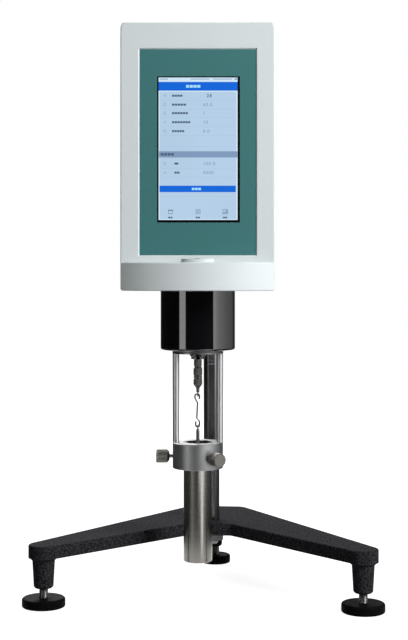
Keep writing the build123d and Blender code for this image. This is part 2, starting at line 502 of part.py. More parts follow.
SCREW_PLACES = [(side * 72, height) for side in (-1, 1) for height in (362, 489, 616)]
VENT_ROWS = [(side * 32, 566 + 7 * row) for side in (-1, 1) for row in range(7)]
with BuildPart() as rear_housing:
    with BuildSketch(front_plane(HEAD_BACK)) as rear_view:
        head_outline(0)
        fillet(rear_view.vertices().group_by(Axis.Y)[0], LOWER_CORNER)
    extrude(amount=HEAD_BACK - SEAM)
    fillet(rear_housing.faces().sort_by(Axis.Y)[-1].edges(), HEAD_EDGE)
    with BuildSketch(front_plane(HEAD_BACK - WALL)):
        head_outline(WALL)
    extrude(amount=HEAD_BACK - WALL - SEAM, mode=Mode.SUBTRACT)
    # screw posts, then every opening through the back wall
    with BuildSketch(front_plane(HEAD_BACK - WALL)):
        with Locations(*SCREW_PLACES):
            Circle(SCREW_POST_RADIUS)
    extrude(amount=HEAD_BACK - WALL - SEAM)
    with BuildSketch(front_plane(HEAD_BACK)):
        with Locations(*SCREW_PLACES):
            Circle(HOUSING_SCREW_SHANK)
        with Locations(*FLANGE_SCREWS):
            Circle(FLANGE_SCREW_SHANK)
        with Locations((ROD_OFFSET, ROD_HEIGHT)):
            Circle(ROD_RADIUS)
        with Locations(*VENT_ROWS):
            SlotOverall(VENT_LENGTH, VENT_WIDTH)
        with Locations((PROBE_X, FITTING_HEIGHT)):
            Circle(PROBE_HOLE)
        with Locations((USB_X, FITTING_HEIGHT)):
            Rectangle(*USB_SHELL)
        with Locations((SWITCH_X, FITTING_HEIGHT)):
            Rectangle(*SWITCH_HOLE)
        with Locations((INLET_X, FITTING_HEIGHT)):
            Circle(INLET_HOLE)
    extrude(amount=HEAD_BACK - SEAM, mode=Mode.SUBTRACT)
write(rear_housing, "rear_housing")

with BuildPart() as housing_screws:
    screw(front_plane(HEAD_BACK), SCREW_PLACES, shank=HOUSING_SCREW_SHANK, length=15, head=3.2,
          head_height=1.8, outward=-1)
write(housing_screws, "housing_screws")

with BuildPart() as flange_screws:
    screw(front_plane(HEAD_BACK + FLANGE_SHEET), FLANGE_SCREWS, shank=FLANGE_SCREW_SHANK, length=12,
          head=3.6, head_height=2.2, outward=-1)
write(flange_screws, "flange_screws")

# ---------------------------------------------------------------- head: panel and display
PANEL_FACE = HEAD_FRONT + PANEL_RECESS
with BuildPart() as front_panel:
    with BuildSketch(front_plane(PANEL_FACE + PANEL_SHEET)):
        with Locations(panel_centre):
            Rectangle(*panel_size)
        with Locations((DISPLAY_X, DISPLAY_Z)):
            Rectangle(DISPLAY_WIDTH, DISPLAY_HEIGHT, mode=Mode.SUBTRACT)
    extrude(amount=PANEL_SHEET)
write(front_panel, "front_panel")

with BuildPart() as display_glass:
    with BuildSketch(front_plane(PANEL_FACE + PANEL_SHEET)):
        with Locations((DISPLAY_X, DISPLAY_Z)):
            Rectangle(DISPLAY_WIDTH, DISPLAY_HEIGHT)
    extrude(amount=PANEL_SHEET)
write(display_glass, "display_glass")

MODULE_FRONT = PANEL_FACE + PANEL_SHEET
with BuildPart() as display_module:
    with BuildSketch(front_plane(MODULE_FRONT + MODULE_DEPTH)):
        with Locations((DISPLAY_X, DISPLAY_Z)):
            Rectangle(DISPLAY_WIDTH + 2 * MODULE_MARGIN, DISPLAY_HEIGHT + 2 * MODULE_MARGIN)
    extrude(amount=MODULE_DEPTH)
write(display_module, "display_module")

# ---------------------------------------------------------------- head: level
with BuildPart() as level_cup:
    cup_low, cup_high = CHIN_TOP + LEVEL_RISE - LEVEL_SEAT, CHIN_TOP + LEVEL_RISE
    lens_radius, lens_low = LEVEL_RADIUS - CUP_WALL, cup_low + CUP_FLOOR
    turn([(0, cup_low), (LEVEL_RADIUS, cup_low), (LEVEL_RADIUS, cup_high), (lens_radius, cup_high),
          (lens_radius, lens_low), (0, lens_low)], SPINDLE_X, SPINDLE_Y + LEVEL_DEPTH)
write(level_cup, "level_cup")

with BuildPart() as level_lens:
    lens_edge, lens_rise = cup_high - BODY_GAP, 1.0
    sphere = (lens_radius ** 2 + lens_rise ** 2) / (2 * lens_rise)
    halfway = lens_edge + lens_rise - sphere + sqrt(sphere ** 2 - (lens_radius / 2) ** 2)
    with BuildSketch(Plane((SPINDLE_X, SPINDLE_Y + LEVEL_DEPTH, 0), x_dir=(1, 0, 0), z_dir=(0, -1, 0))):
        with BuildLine():
            Polyline((0, lens_edge + lens_rise), (0, lens_low), (lens_radius, lens_low),
                     (lens_radius, lens_edge))
            ThreePointArc((lens_radius, lens_edge), (lens_radius / 2, halfway), (0, lens_edge + lens_rise))
        make_face()
    revolve(axis=Axis((SPINDLE_X, SPINDLE_Y + LEVEL_DEPTH, 0), (0, 0, 1)))
write(level_lens, "level_lens")

# ---------------------------------------------------------------- head: electronics
BOARD_DEPTH, BOARD_SHEET = -40.0, 1.6
BOARD_PLACES = [(x, z) for x in (-56, 56) for z in (400, 590)]
SUPPLY_DEPTH = 44.0
SUPPLY_PLACES = [(x, z) for x in (-34, 34) for z in (506, 552)]


def circuit_board(depth, centre, size, chips):
    """Board with its chips on the back side; each chip is (x, z, width, height, thickness)."""
    with BuildSketch(front_plane(depth + BOARD_SHEET)) as board:
        with Locations(centre):
            Rectangle(*size)
    extrude(board.sketch, amount=BOARD_SHEET)
    for x, z, width, height, thickness in chips:
        with BuildSketch(front_plane(depth + BOARD_SHEET)) as chip:
            with Locations((x, z)):
                Rectangle(width, height)
        extrude(chip.sketch, amount=-thickness)


with BuildPart() as main_board:
    circuit_board(BOARD_DEPTH, (0, 495), (124, 204), [
        (0, 520, 17, 17, 1.6), (30, 530, 12, 14, 1.4), (-32, 515, 14, 20, 1.2),
        (-40, 560, 9, 9, 8), (-26, 560, 9, 9, 8), (36, 570, 20, 8, 7), (0, 455, 60, 5, 6)])
write(main_board, "main_board")

with BuildPart() as power_board:
    circuit_board(SUPPLY_DEPTH, (0, 529), (80, 58), [
        (-26, 520, 16, 20, 12), (0, 528, 12, 12, 8), (25, 536, 18, 24, 10)])
write(power_board, "power_board")

# ---------------------------------------------------------------- head: collar and its nose
with BuildPart() as collar:
    floor = COLLAR_BOTTOM + WALL
    turn([(CAP_RADIUS, COLLAR_BOTTOM), (COLLAR_RADIUS, COLLAR_BOTTOM), (COLLAR_RADIUS, HEAD_BOTTOM),
          (COLLAR_RADIUS - WALL, HEAD_BOTTOM), (COLLAR_RADIUS - WALL, floor), (CAP_RADIUS, floor)])
    fillet(collar.faces().sort_by(Axis.Z)[0].outer_wire().edges(), COLLAR_EDGE)
write(collar, "collar")

with BuildPart() as adapter_flange:
    turn([(CAP_RADIUS, FLANGE_BOTTOM), (FLANGE_LOW_RADIUS, FLANGE_BOTTOM),
          (FLANGE_LOW_RADIUS, FLANGE_BOTTOM + 2), (FLANGE_TOP_RADIUS, FLANGE_BOTTOM + 3.2),
          (FLANGE_TOP_RADIUS, COLLAR_BOTTOM), (CAP_RADIUS, COLLAR_BOTTOM)])
    with BuildSketch(spindle_plane(FLANGE_BOTTOM)):
        with Locations((-POST_X, 0), (POST_X, 0)):
            Circle(2.5)
    extrude(amount=4, mode=Mode.SUBTRACT)
write(adapter_flange, "adapter_flange")

BEARING_RADIUS, BEARING_LENGTH = 4.0, 6.0
with BuildPart() as pivot_cap:
    turn([(PIVOT_RADIUS + BODY_GAP, CAP_BOTTOM), (CAP_NOSE, CAP_BOTTOM), (CAP_NOSE, CAP_SHOULDER - 1.6),
          (CAP_RADIUS, CAP_SHOULDER), (CAP_RADIUS, CAP_TOP), (BEARING_RADIUS, CAP_TOP),
          (BEARING_RADIUS, CAP_TOP - BEARING_LENGTH), (PIVOT_RADIUS + BODY_GAP, CAP_TOP - BEARING_LENGTH)])
write(pivot_cap, "pivot_cap")

with BuildPart() as pivot_bearing:
    turn(ring_outline(PIVOT_RADIUS + RUNNING_GAP, BEARING_RADIUS, CAP_TOP - BEARING_LENGTH, CAP_TOP))
write(pivot_bearing, "pivot_bearing")

# ---------------------------------------------------------------- head: drive frame and motor
PLATE_POSTS = [(x, y) for x in (-45, 45) for y in (-30, 30)]


def chassis_plate(height, hole):
    """Square plate with a hole on the spindle axis."""
    with BuildSketch(spindle_plane(height)) as plate:
        RectangleRounded(PLATE_WIDTH, PLATE_BREADTH, 4)
        Circle(hole, mode=Mode.SUBTRACT)
    extrude(plate.sketch, amount=PLATE_SHEET)


with BuildPart() as lower_chassis_plate:
    chassis_plate(LOWER_PLATE, 12)
write(lower_chassis_plate, "lower_chassis_plate")

with BuildPart() as upper_chassis_plate:
    chassis_plate(UPPER_PLATE, 11)
write(upper_chassis_plate, "upper_chassis_plate")

with BuildPart() as standoffs:
    with BuildSketch(spindle_plane(LOWER_PLATE + PLATE_SHEET)):
        with Locations(*PLATE_POSTS):
            RegularPolygon(4.5, 6)
    extrude(amount=UPPER_PLATE - LOWER_PLATE - PLATE_SHEET)
    for places, start, end in ((BOARD_PLACES, HEAD_FRONT + FRONT_WALL, BOARD_DEPTH),
                               (SUPPLY_PLACES, SUPPLY_DEPTH + BOARD_SHEET, HEAD_BACK - WALL)):
        with BuildSketch(front_plane(end)):
            with Locations(*places):
                RegularPolygon(3.2, 6)
        extrude(amount=end - start)
write(standoffs, "standoffs")

with BuildPart() as drive_motor:
    motor_base = UPPER_PLATE + PLATE_SHEET
    with BuildSketch(spindle_plane(motor_base)):
        RectangleRounded(MOTOR_SIZE, MOTOR_SIZE, 5)
    extrude(amount=MOTOR_HEIGHT)
    with BuildSketch(spindle_plane(motor_base)):
        Circle(11)
    extrude(amount=-2)
    turn(ring_outline(0, DRIVE_RADIUS + RUNNING_GAP, motor_base - 2, motor_base + MOTOR_HEIGHT - 8),
         mode=Mode.SUBTRACT)
write(drive_motor, "drive_motor")

# each sensor straddles the rim of one disc
SENSOR_REACH, SENSOR_SLOT = 8.0, 5.0
with BuildPart() as disc_sensors:
    for side, disc_height, low, high in ((-1, LOWER_DISC, LOWER_PLATE + PLATE_SHEET, LOWER_DISC + 6),
                                         (1, UPPER_DISC, UPPER_DISC - 6, UPPER_PLATE)):
        with BuildSketch(spindle_plane(low)):
            with Locations((side * (DISC_RADIUS + 2), 0)):
                Rectangle(2 * SENSOR_REACH, 10)
        extrude(amount=high - low)
        with BuildSketch(spindle_plane(disc_height + DISC_SHEET / 2 - SENSOR_SLOT / 2)):
            with Locations((side * (DISC_RADIUS - 4), 0)):
                Rectangle(2 * SENSOR_REACH - 6, 12)
        extrude(amount=SENSOR_SLOT, mode=Mode.SUBTRACT)
write(disc_sensors, "disc_sensors")

# ---------------------------------------------------------------- head: rear panel fittings
with BuildPart() as probe_socket:
    with BuildSketch(front_plane(HEAD_BACK + PROBE_PROUD)):
        with Locations((PROBE_X, FITTING_HEIGHT)):
            Circle(PROBE_RIM)
    extrude(amount=PROBE_PROUD)
    with BuildSketch(front_plane(HEAD_BACK)):
        with Locations((PROBE_X, FITTING_HEIGHT)):
            Circle(PROBE_HOLE)
    extrude(amount=16)
    with BuildSketch(front_plane(HEAD_BACK + PROBE_PROUD)):
        with Locations((PROBE_X, FITTING_HEIGHT)):
            Circle(PROBE_BORE)
    extrude(amount=12, mode=Mode.SUBTRACT)
write(probe_socket, "probe_socket")

with BuildPart() as usb_port:
    with BuildSketch(front_plane(HEAD_BACK + USB_PROUD)):
        with Locations((USB_X, FITTING_HEIGHT)):
            Rectangle(*USB_SHELL)
    extrude(amount=16)
    with BuildSketch(front_plane(HEAD_BACK + USB_PROUD)):
        with Locations((USB_X, FITTING_HEIGHT)):
            Rectangle(*USB_MOUTH)
            Rectangle(*USB_TONGUE, mode=Mode.SUBTRACT)
    extrude(amount=9, mode=Mode.SUBTRACT)
write(usb_port, "usb_port")

with BuildPart() as power_inlet:
    with BuildSketch(front_plane(HEAD_BACK + INLET_PROUD)):
        with Locations((INLET_X, FITTING_HEIGHT)):
            Circle(INLET_RIM)
    extrude(amount=INLET_PROUD)
    with BuildSketch(front_plane(HEAD_BACK)):
        with Locations((INLET_X, FITTING_HEIGHT)):
            Circle(INLET_HOLE)
    extrude(amount=14)
    with BuildSketch(front_plane(HEAD_BACK + INLET_PROUD)):
        with Locations((INLET_X, FITTING_HEIGHT)):
            Circle(INLET_BORE)
            Circle(INLET_PIN, mode=Mode.SUBTRACT)
    extrude(amount=10, mode=Mode.SUBTRACT)
write(power_inlet, "power_inlet")

# the rocker turns on two trunnions and stands in its off position, its upper half pressed in
ROCKER_TILT, ROCKER_HALF, ROCKER_WIDTH = 8.0, 7.0, SWITCH_POCKET[0] - 2 * BODY_GAP
TRUNNION_RADIUS, TRUNNION_LENGTH, TRUNNION_BORE = 1.2, 11.6, 12.2


def across_pivot(length):
    """Plane that leans with the rocker, at the left end of a length centred on its pivot."""
    tilt = radians(ROCKER_TILT)
    return Plane((SPINDLE_X + SWITCH_X - length / 2, SPINDLE_Y + HEAD_BACK, FITTING_HEIGHT),
                 x_dir=(0, cos(tilt), sin(tilt)), z_dir=(1, 0, 0))


with BuildPart() as switch_frame:
    with BuildSketch(front_plane(HEAD_BACK + SWITCH_PROUD)):
        with Locations((SWITCH_X, FITTING_HEIGHT)):
            Rectangle(*SWITCH_RIM)
    extrude(amount=SWITCH_PROUD)
    with BuildSketch(front_plane(HEAD_BACK)):
        with Locations((SWITCH_X, FITTING_HEIGHT)):
            Rectangle(*SWITCH_HOLE)
    extrude(amount=15)
    with BuildSketch(front_plane(HEAD_BACK + SWITCH_PROUD)):
        with Locations((SWITCH_X, FITTING_HEIGHT)):
            Rectangle(*SWITCH_POCKET)
    extrude(amount=10, mode=Mode.SUBTRACT)
    with BuildSketch(across_pivot(TRUNNION_BORE)):
        Circle(TRUNNION_RADIUS + RUNNING_GAP)
    extrude(amount=TRUNNION_BORE, mode=Mode.SUBTRACT)
write(switch_frame, "switch_frame")

with BuildPart() as switch_rocker:
    with BuildSketch(across_pivot(ROCKER_WIDTH)):
        with BuildLine():
            Polyline((-5.5, -2.6), (-5.5, 2.6), (-1, ROCKER_HALF), (3.0, ROCKER_HALF), (1.8, 0),
                     (3.0, -ROCKER_HALF), (-1, -ROCKER_HALF), close=True)
        make_face()
    extrude(amount=ROCKER_WIDTH)
    with BuildSketch(across_pivot(TRUNNION_LENGTH)):
        Circle(TRUNNION_RADIUS)
    extrude(amount=TRUNNION_LENGTH)
write(switch_rocker, "switch_rocker")

# ---------------------------------------------------------------- drive: motor side of the spring
SPRING_LEVEL, SPRING_BREADTH, SPRING_OUTER = 370.0, 2.0, 14.0
with BuildPart() as drive_shaft:
    shaft_top = UPPER_PLATE + PLATE_SHEET + MOTOR_HEIGHT - 8 - BODY_GAP
    turn([(0, UPPER_DISC - 3), (DRIVE_RADIUS, UPPER_DISC - 3), (DRIVE_RADIUS, shaft_top), (0, shaft_top)])
write(drive_shaft, "drive_shaft")


def slotted_disc(height, shaft_radius, hub_low, hub_high):
    """Thin disc on a hub, with one timing slot near its rim."""
    turn([(shaft_radius, hub_low), (6, hub_low), (6, height), (DISC_RADIUS, height),
          (DISC_RADIUS, height + DISC_SHEET), (6, height + DISC_SHEET), (6, hub_high),
          (shaft_radius, hub_high)])
    with BuildSketch(spindle_plane(height)) as slot:
        with Locations((0, -(DISC_RADIUS - 3))):
            Rectangle(1.5, 4)
    extrude(slot.sketch, amount=DISC_SHEET, mode=Mode.SUBTRACT)


with BuildPart() as drive_disc:
    slotted_disc(UPPER_DISC, DRIVE_RADIUS, UPPER_DISC - 2.4, UPPER_DISC + 6)
    # stud that holds the outer end of the spring
    with BuildSketch(spindle_plane(SPRING_LEVEL - 0.5)):
        with Locations((SPRING_OUTER + 0.9, 0)):
            Circle(1.2)
    extrude(amount=UPPER_DISC - SPRING_LEVEL + 0.5)
write(drive_disc, "drive_disc")

with BuildPart() as hairspring:
    turns, points_per_turn, wire, collet = 4, 12, 0.3, PIVOT_RADIUS + 1.2
    with BuildSketch(spindle_plane(SPRING_LEVEL)):
        Circle(collet)
        Circle(PIVOT_RADIUS + RUNNING_GAP, mode=Mode.SUBTRACT)
        with BuildLine():
            rise = (SPRING_OUTER - wire - collet + 0.2) / (2 * pi * turns)
            angles = [2 * pi * step / points_per_turn for step in range(turns * points_per_turn + 1)]
            inner, outer = [[((start + rise * angle) * cos(angle), (start + rise * angle) * sin(angle))
                             for angle in angles] for start in (collet - 0.2, collet - 0.2 + wire)]
            Spline(*inner)
            Spline(*outer)
            Line(inner[0], outer[0])
            Line(inner[-1], outer[-1])
        make_face()
    extrude(amount=SPRING_BREADTH)
write(hairspring, "hairspring")

# ---------------------------------------------------------------- spindle: sample side of the spring
with BuildPart() as pivot_shaft:
    pivot_top = UPPER_DISC - 3 - 2 * BODY_GAP
    turn([(0, COUPLING_TOP), (PIVOT_RADIUS, COUPLING_TOP), (PIVOT_RADIUS, pivot_top - 1),
          (PIVOT_RADIUS - 1, pivot_top), (0, pivot_top)])
write(pivot_shaft, "pivot_shaft")

with BuildPart() as pivot_disc:
    slotted_disc(LOWER_DISC, PIVOT_RADIUS, LOWER_DISC - 4, LOWER_DISC + 3)
write(pivot_disc, "pivot_disc")


def eye(height):
    """Wire eye that stands across the hooks' plane."""
    with BuildSketch(Plane((SPINDLE_X, SPINDLE_Y, 0), x_dir=(1, 0, 0), z_dir=(0, -1, 0))) as wire:
        with Locations((0, height + EYE_RADIUS)):
            Circle(EYE_WIRE)
    revolve(wire.sketch, axis=Axis((SPINDLE_X, SPINDLE_Y, height), (1, 0, 0)))


with BuildPart() as coupling_nut:
    # upper barrel, waist, knurled barrel, two thin grooves, lower barrel and the taper to the eye
    barrel, wide_barrel, waist, groove = 4.25, 4.75, 3.9, 4.3
    turn([(0, COUPLING_TOP), (barrel, COUPLING_TOP), (barrel, 260.2), (waist, 259.9), (waist, 259.1),
          (wide_barrel, 258.4), (wide_barrel, 250.2), (groove, 249.9), (groove, 249.3),
          (wide_barrel, 249.0), (wide_barrel, 247.4), (groove, 247.1), (groove, 246.6),
          (wide_barrel, 246.2), (wide_barrel, 240.2), (groove, 239.2), (1.9, 235.8),
          (1.7, HOOK_TOP - 1), (0, HOOK_TOP - 1)])
    eye(UPPER_EYE)
write(coupling_nut, "coupling_nut")

# bent wire: a hook through each eye and a slightly slanted straight between them
with BuildPart() as hook_link:
    bends = [(1.8, 223.4), (1.8, 228.9), (-3.0, 228.9), (-3.3, 224.6), (-0.3, 219.5),
             (-1.2, 202.4), (1.9, 198.4), (1.8, 192.5), (-2.2, 192.5), (-2.4, 198.6)]
    with BuildLine(Plane((SPINDLE_X, SPINDLE_Y, 0), x_dir=(1, 0, 0), z_dir=(0, -1, 0))) as wire_path:
        FilletPolyline(*bends, radius=[1.4, 1.4, 2.0, 3.0, 3.0, 2.0, 1.4, 1.4])
    with BuildSketch(Plane(wire_path.line @ 0, z_dir=wire_path.line % 0)):
        Circle(WIRE_RADIUS)
    sweep(path=wire_path.line)
write(hook_link, "hook_link")

with BuildPart() as rotor:
    rotor_low = ROTOR_TOP - ROTOR_LENGTH
    stem_top = LOWER_EYE - EYE_RADIUS + 0.4
    turn([(0, stem_top), (1.5, stem_top), (STEM_RADIUS, stem_top - 2), (STEM_RADIUS, 178), (2.8, 172),
          (3.4, ROTOR_TOP + 6), (ROTOR_RADIUS, ROTOR_TOP), (ROTOR_RADIUS, rotor_low + 1),
          (ROTOR_RADIUS - 1, rotor_low), (ROTOR_RADIUS - 1, ROTOR_TOP - 3), (0, ROTOR_TOP - 3)])
    eye(LOWER_EYE)
write(rotor, "rotor")

# ---------------------------------------------------------------- low-viscosity adapter
SPIGOT, SPIGOT_REACH = 2.5, 11.5
with BuildPart() as adapter_posts:
    for side in (-1, 1):
        turn([(0, RING_TOP - SPIGOT_REACH), (SPIGOT, RING_TOP - SPIGOT_REACH), (SPIGOT, RING_TOP),
              (POST_RADIUS, RING_TOP), (POST_RADIUS, FLANGE_BOTTOM), (SPIGOT, FLANGE_BOTTOM),
              (SPIGOT, FLANGE_BOTTOM + 4), (0, FLANGE_BOTTOM + 4)], SPINDLE_X + side * POST_X)
write(adapter_posts, "adapter_posts")


def radial_plane(bearing, distance):
    """Plane facing straight out from the spindle axis, at the thumb screws' height."""
    out_x, out_y = cos(radians(bearing)), sin(radians(bearing))
    return Plane((SPINDLE_X + distance * out_x, SPINDLE_Y + distance * out_y, SCREW_HEIGHT),
                 z_dir=(out_x, out_y, 0))


with BuildPart() as clamp_ring:
    turn(ring_outline(TUBE_RADIUS + RUNNING_GAP, RING_RADIUS, RING_BOTTOM, RING_TOP))
    chamfer(clamp_ring.edges().filter_by(GeomType.CIRCLE), 0.6)
    with BuildSketch(spindle_plane(RING_TOP)):
        with Locations((-POST_X, 0), (POST_X, 0)):
            Circle(SPIGOT)
    extrude(amount=-SPIGOT_REACH, mode=Mode.SUBTRACT)
    for bearing in SCREW_BEARINGS.values():
        with BuildSketch(radial_plane(bearing, 0)):
            Circle(SCREW_SHANK + RUNNING_GAP)
        extrude(amount=RING_RADIUS + 1, mode=Mode.SUBTRACT)
write(clamp_ring, "clamp_ring")

for screw_name, bearing in SCREW_BEARINGS.items():
    with BuildPart() as thumb_screw:
        with BuildSketch(radial_plane(bearing, KNOB_START)):
            Circle(KNOB_RADIUS)
        extrude(amount=KNOB_END - KNOB_START)
        for which, bevel in ((0, INNER_BEVEL), (-1, OUTER_BEVEL)):
            rims = thumb_screw.edges().filter_by(GeomType.CIRCLE)
            chamfer(rims.sort_by_distance((SPINDLE_X, SPINDLE_Y, SCREW_HEIGHT))[which], bevel)
        with BuildSketch(radial_plane(bearing, SCREW_TIP)):
            Circle(SCREW_SHANK)
        extrude(amount=KNOB_START + 1 - SCREW_TIP)
    write(thumb_screw, f"thumb_screw_{screw_name}")

with BuildPart() as sample_tube:
    turn([(TUBE_BORE, TUBE_BOTTOM), (TUBE_RADIUS - 1.4, TUBE_BOTTOM), (TUBE_RADIUS - 0.4, TUBE_BOTTOM + 0.5),
          (TUBE_RADIUS, TUBE_BOTTOM + 1.5), (TUBE_RADIUS, RING_TOP), (TUBE_BORE, RING_TOP)])
write(sample_tube, "sample_tube")

SEAL_BREADTH, SEAL_DEPTH = 2.4, 1.6
with BuildPart() as tube_plug:
    plug_low = TUBE_BOTTOM + 0.5
    seal_low = plug_low + 3.2
    turn([(0, plug_low), (TUBE_BORE, plug_low), (TUBE_BORE, seal_low), (TUBE_BORE - SEAL_DEPTH, seal_low),
          (TUBE_BORE - SEAL_DEPTH, seal_low + SEAL_BREADTH), (TUBE_BORE, seal_low + SEAL_BREADTH),
          (TUBE_BORE, plug_low + PLUG_LENGTH - 0.8), (TUBE_BORE - 0.8, plug_low + PLUG_LENGTH),
          (0, plug_low + PLUG_LENGTH)])
write(tube_plug, "tube_plug")

with BuildPart() as plug_seal:
    turn(ring_outline(TUBE_BORE - SEAL_DEPTH, TUBE_BORE, seal_low, seal_low + SEAL_BREADTH))
write(plug_seal, "plug_seal")
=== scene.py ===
import json
from math import cos, pi, radians, sin

import bmesh
import bpy
from mathutils import Matrix, Vector


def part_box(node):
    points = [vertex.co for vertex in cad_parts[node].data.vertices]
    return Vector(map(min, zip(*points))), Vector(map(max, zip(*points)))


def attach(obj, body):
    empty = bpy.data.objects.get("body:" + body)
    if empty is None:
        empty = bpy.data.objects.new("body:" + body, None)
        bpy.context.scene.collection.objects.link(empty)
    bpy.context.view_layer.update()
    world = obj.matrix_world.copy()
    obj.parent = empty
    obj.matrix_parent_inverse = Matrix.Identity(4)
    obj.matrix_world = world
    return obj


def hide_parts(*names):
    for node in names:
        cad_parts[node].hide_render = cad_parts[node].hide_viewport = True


# Looks of the rotational viscometer. Metres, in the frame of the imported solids: +X to the right,
# +Y to the back, +Z up. Lengths written in millimetres are multiplied by MM.
MM = 0.001

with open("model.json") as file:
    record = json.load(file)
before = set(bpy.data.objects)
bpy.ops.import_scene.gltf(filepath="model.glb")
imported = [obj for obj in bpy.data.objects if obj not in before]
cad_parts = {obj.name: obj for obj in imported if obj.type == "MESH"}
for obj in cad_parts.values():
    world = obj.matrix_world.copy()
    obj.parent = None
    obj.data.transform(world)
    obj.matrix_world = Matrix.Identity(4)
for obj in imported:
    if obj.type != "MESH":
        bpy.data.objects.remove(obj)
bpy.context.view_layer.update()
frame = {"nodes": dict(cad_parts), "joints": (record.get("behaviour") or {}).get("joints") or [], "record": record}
joints = {joint["name"]: joint for joint in frame["joints"]}
SPINDLE = Vector((*joints["drive_spin"]["pos_m"][:2], 0))

# ---------------------------------------------------------------- materials


def shader_of(name):
    """New material; returns it with its Principled shader."""
    material = bpy.data.materials.new(name)
    material.use_nodes = True
    return material, material.node_tree.nodes["Principled BSDF"]


def noise(material, scale, stretch=(1, 1, 1), detail=3.0):
    """Noise in the object's own metres: scale is in features per metre, stretched along each axis."""
    nodes, links = material.node_tree.nodes, material.node_tree.links
    place = nodes.new("ShaderNodeTexCoord")
    mapping = nodes.new("ShaderNodeMapping")
    mapping.inputs["Scale"].default_value = stretch
    texture = nodes.new("ShaderNodeTexNoise")
    texture.inputs["Scale"].default_value = scale
    texture.inputs["Detail"].default_value = detail
    links.new(place.outputs["Object"], mapping.inputs["Vector"])
    links.new(mapping.outputs["Vector"], texture.inputs["Vector"])
    return texture.outputs["Fac"]


NOISE_LOW, NOISE_HIGH = 0.3, 0.7          # most of a noise value lies between these
MOTTLE_DARK, MOTTLE_LIGHT = 0.35, 0.65    # noise values at which a mottled colour is all dark or all light
BROAD = 12                                # the roughness varies this many times more broadly than the colour


def spread(material, value, low, high, socket):
    """Feeds a socket from a noise value, spread between two numbers."""
    ramp = material.node_tree.nodes.new("ShaderNodeMapRange")
    ramp.inputs["From Min"].default_value, ramp.inputs["From Max"].default_value = NOISE_LOW, NOISE_HIGH
    ramp.inputs["To Min"].default_value, ramp.inputs["To Max"].default_value = low, high
    material.node_tree.links.new(value, ramp.inputs["Value"])
    material.node_tree.links.new(ramp.outputs["Result"], socket)


def mottle(material, value, dark, light, socket):
    """Feeds a colour socket from a noise value, between two colours."""
    ramp = material.node_tree.nodes.new("ShaderNodeValToRGB")
    low, high = ramp.color_ramp.elements
    low.position, high.position = MOTTLE_DARK, MOTTLE_LIGHT
    low.color, high.color = (*dark, 1), (*light, 1)
    material.node_tree.links.new(value, ramp.inputs["Fac"])
    material.node_tree.links.new(ramp.outputs["Color"], socket)


def relief(material, shader, value, height):
    """Bump of the given height in metres."""
    bump = material.node_tree.nodes.new("ShaderNodeBump")
    bump.inputs["Strength"].default_value = 1.0
    bump.inputs["Distance"].default_value = height
    material.node_tree.links.new(value, bump.inputs["Height"])
    material.node_tree.links.new(bump.outputs["Normal"], shader.inputs["Normal"])


def finish(name, colour, roughness, metallic=0.0, vary=0.06, grain=600, stretch=(1, 1, 1), bump=0.00001,
           rough_vary=0.05, **constants):
    """Material with a mottled colour, uneven roughness and, unless bump is 0, a fine relief."""
    material, shader = shader_of(name)
    shader.inputs["Metallic"].default_value = metallic
    for socket, value in constants.items():
        shader.inputs[socket.replace("_", " ")].default_value = value
    fine = noise(material, grain, stretch)
    broad = noise(material, grain / BROAD, stretch, detail=2.0)
    dark = [channel * (1 - vary) for channel in colour]
    light = [min(channel * (1 + vary), 1) for channel in colour]
    mottle(material, fine, dark, light, shader.inputs["Base Color"])
    spread(material, broad, max(roughness - rough_vary, 0.02), roughness + rough_vary,
           shader.inputs["Roughness"])
    if bump:
        relief(material, shader, fine, bump)
    return material


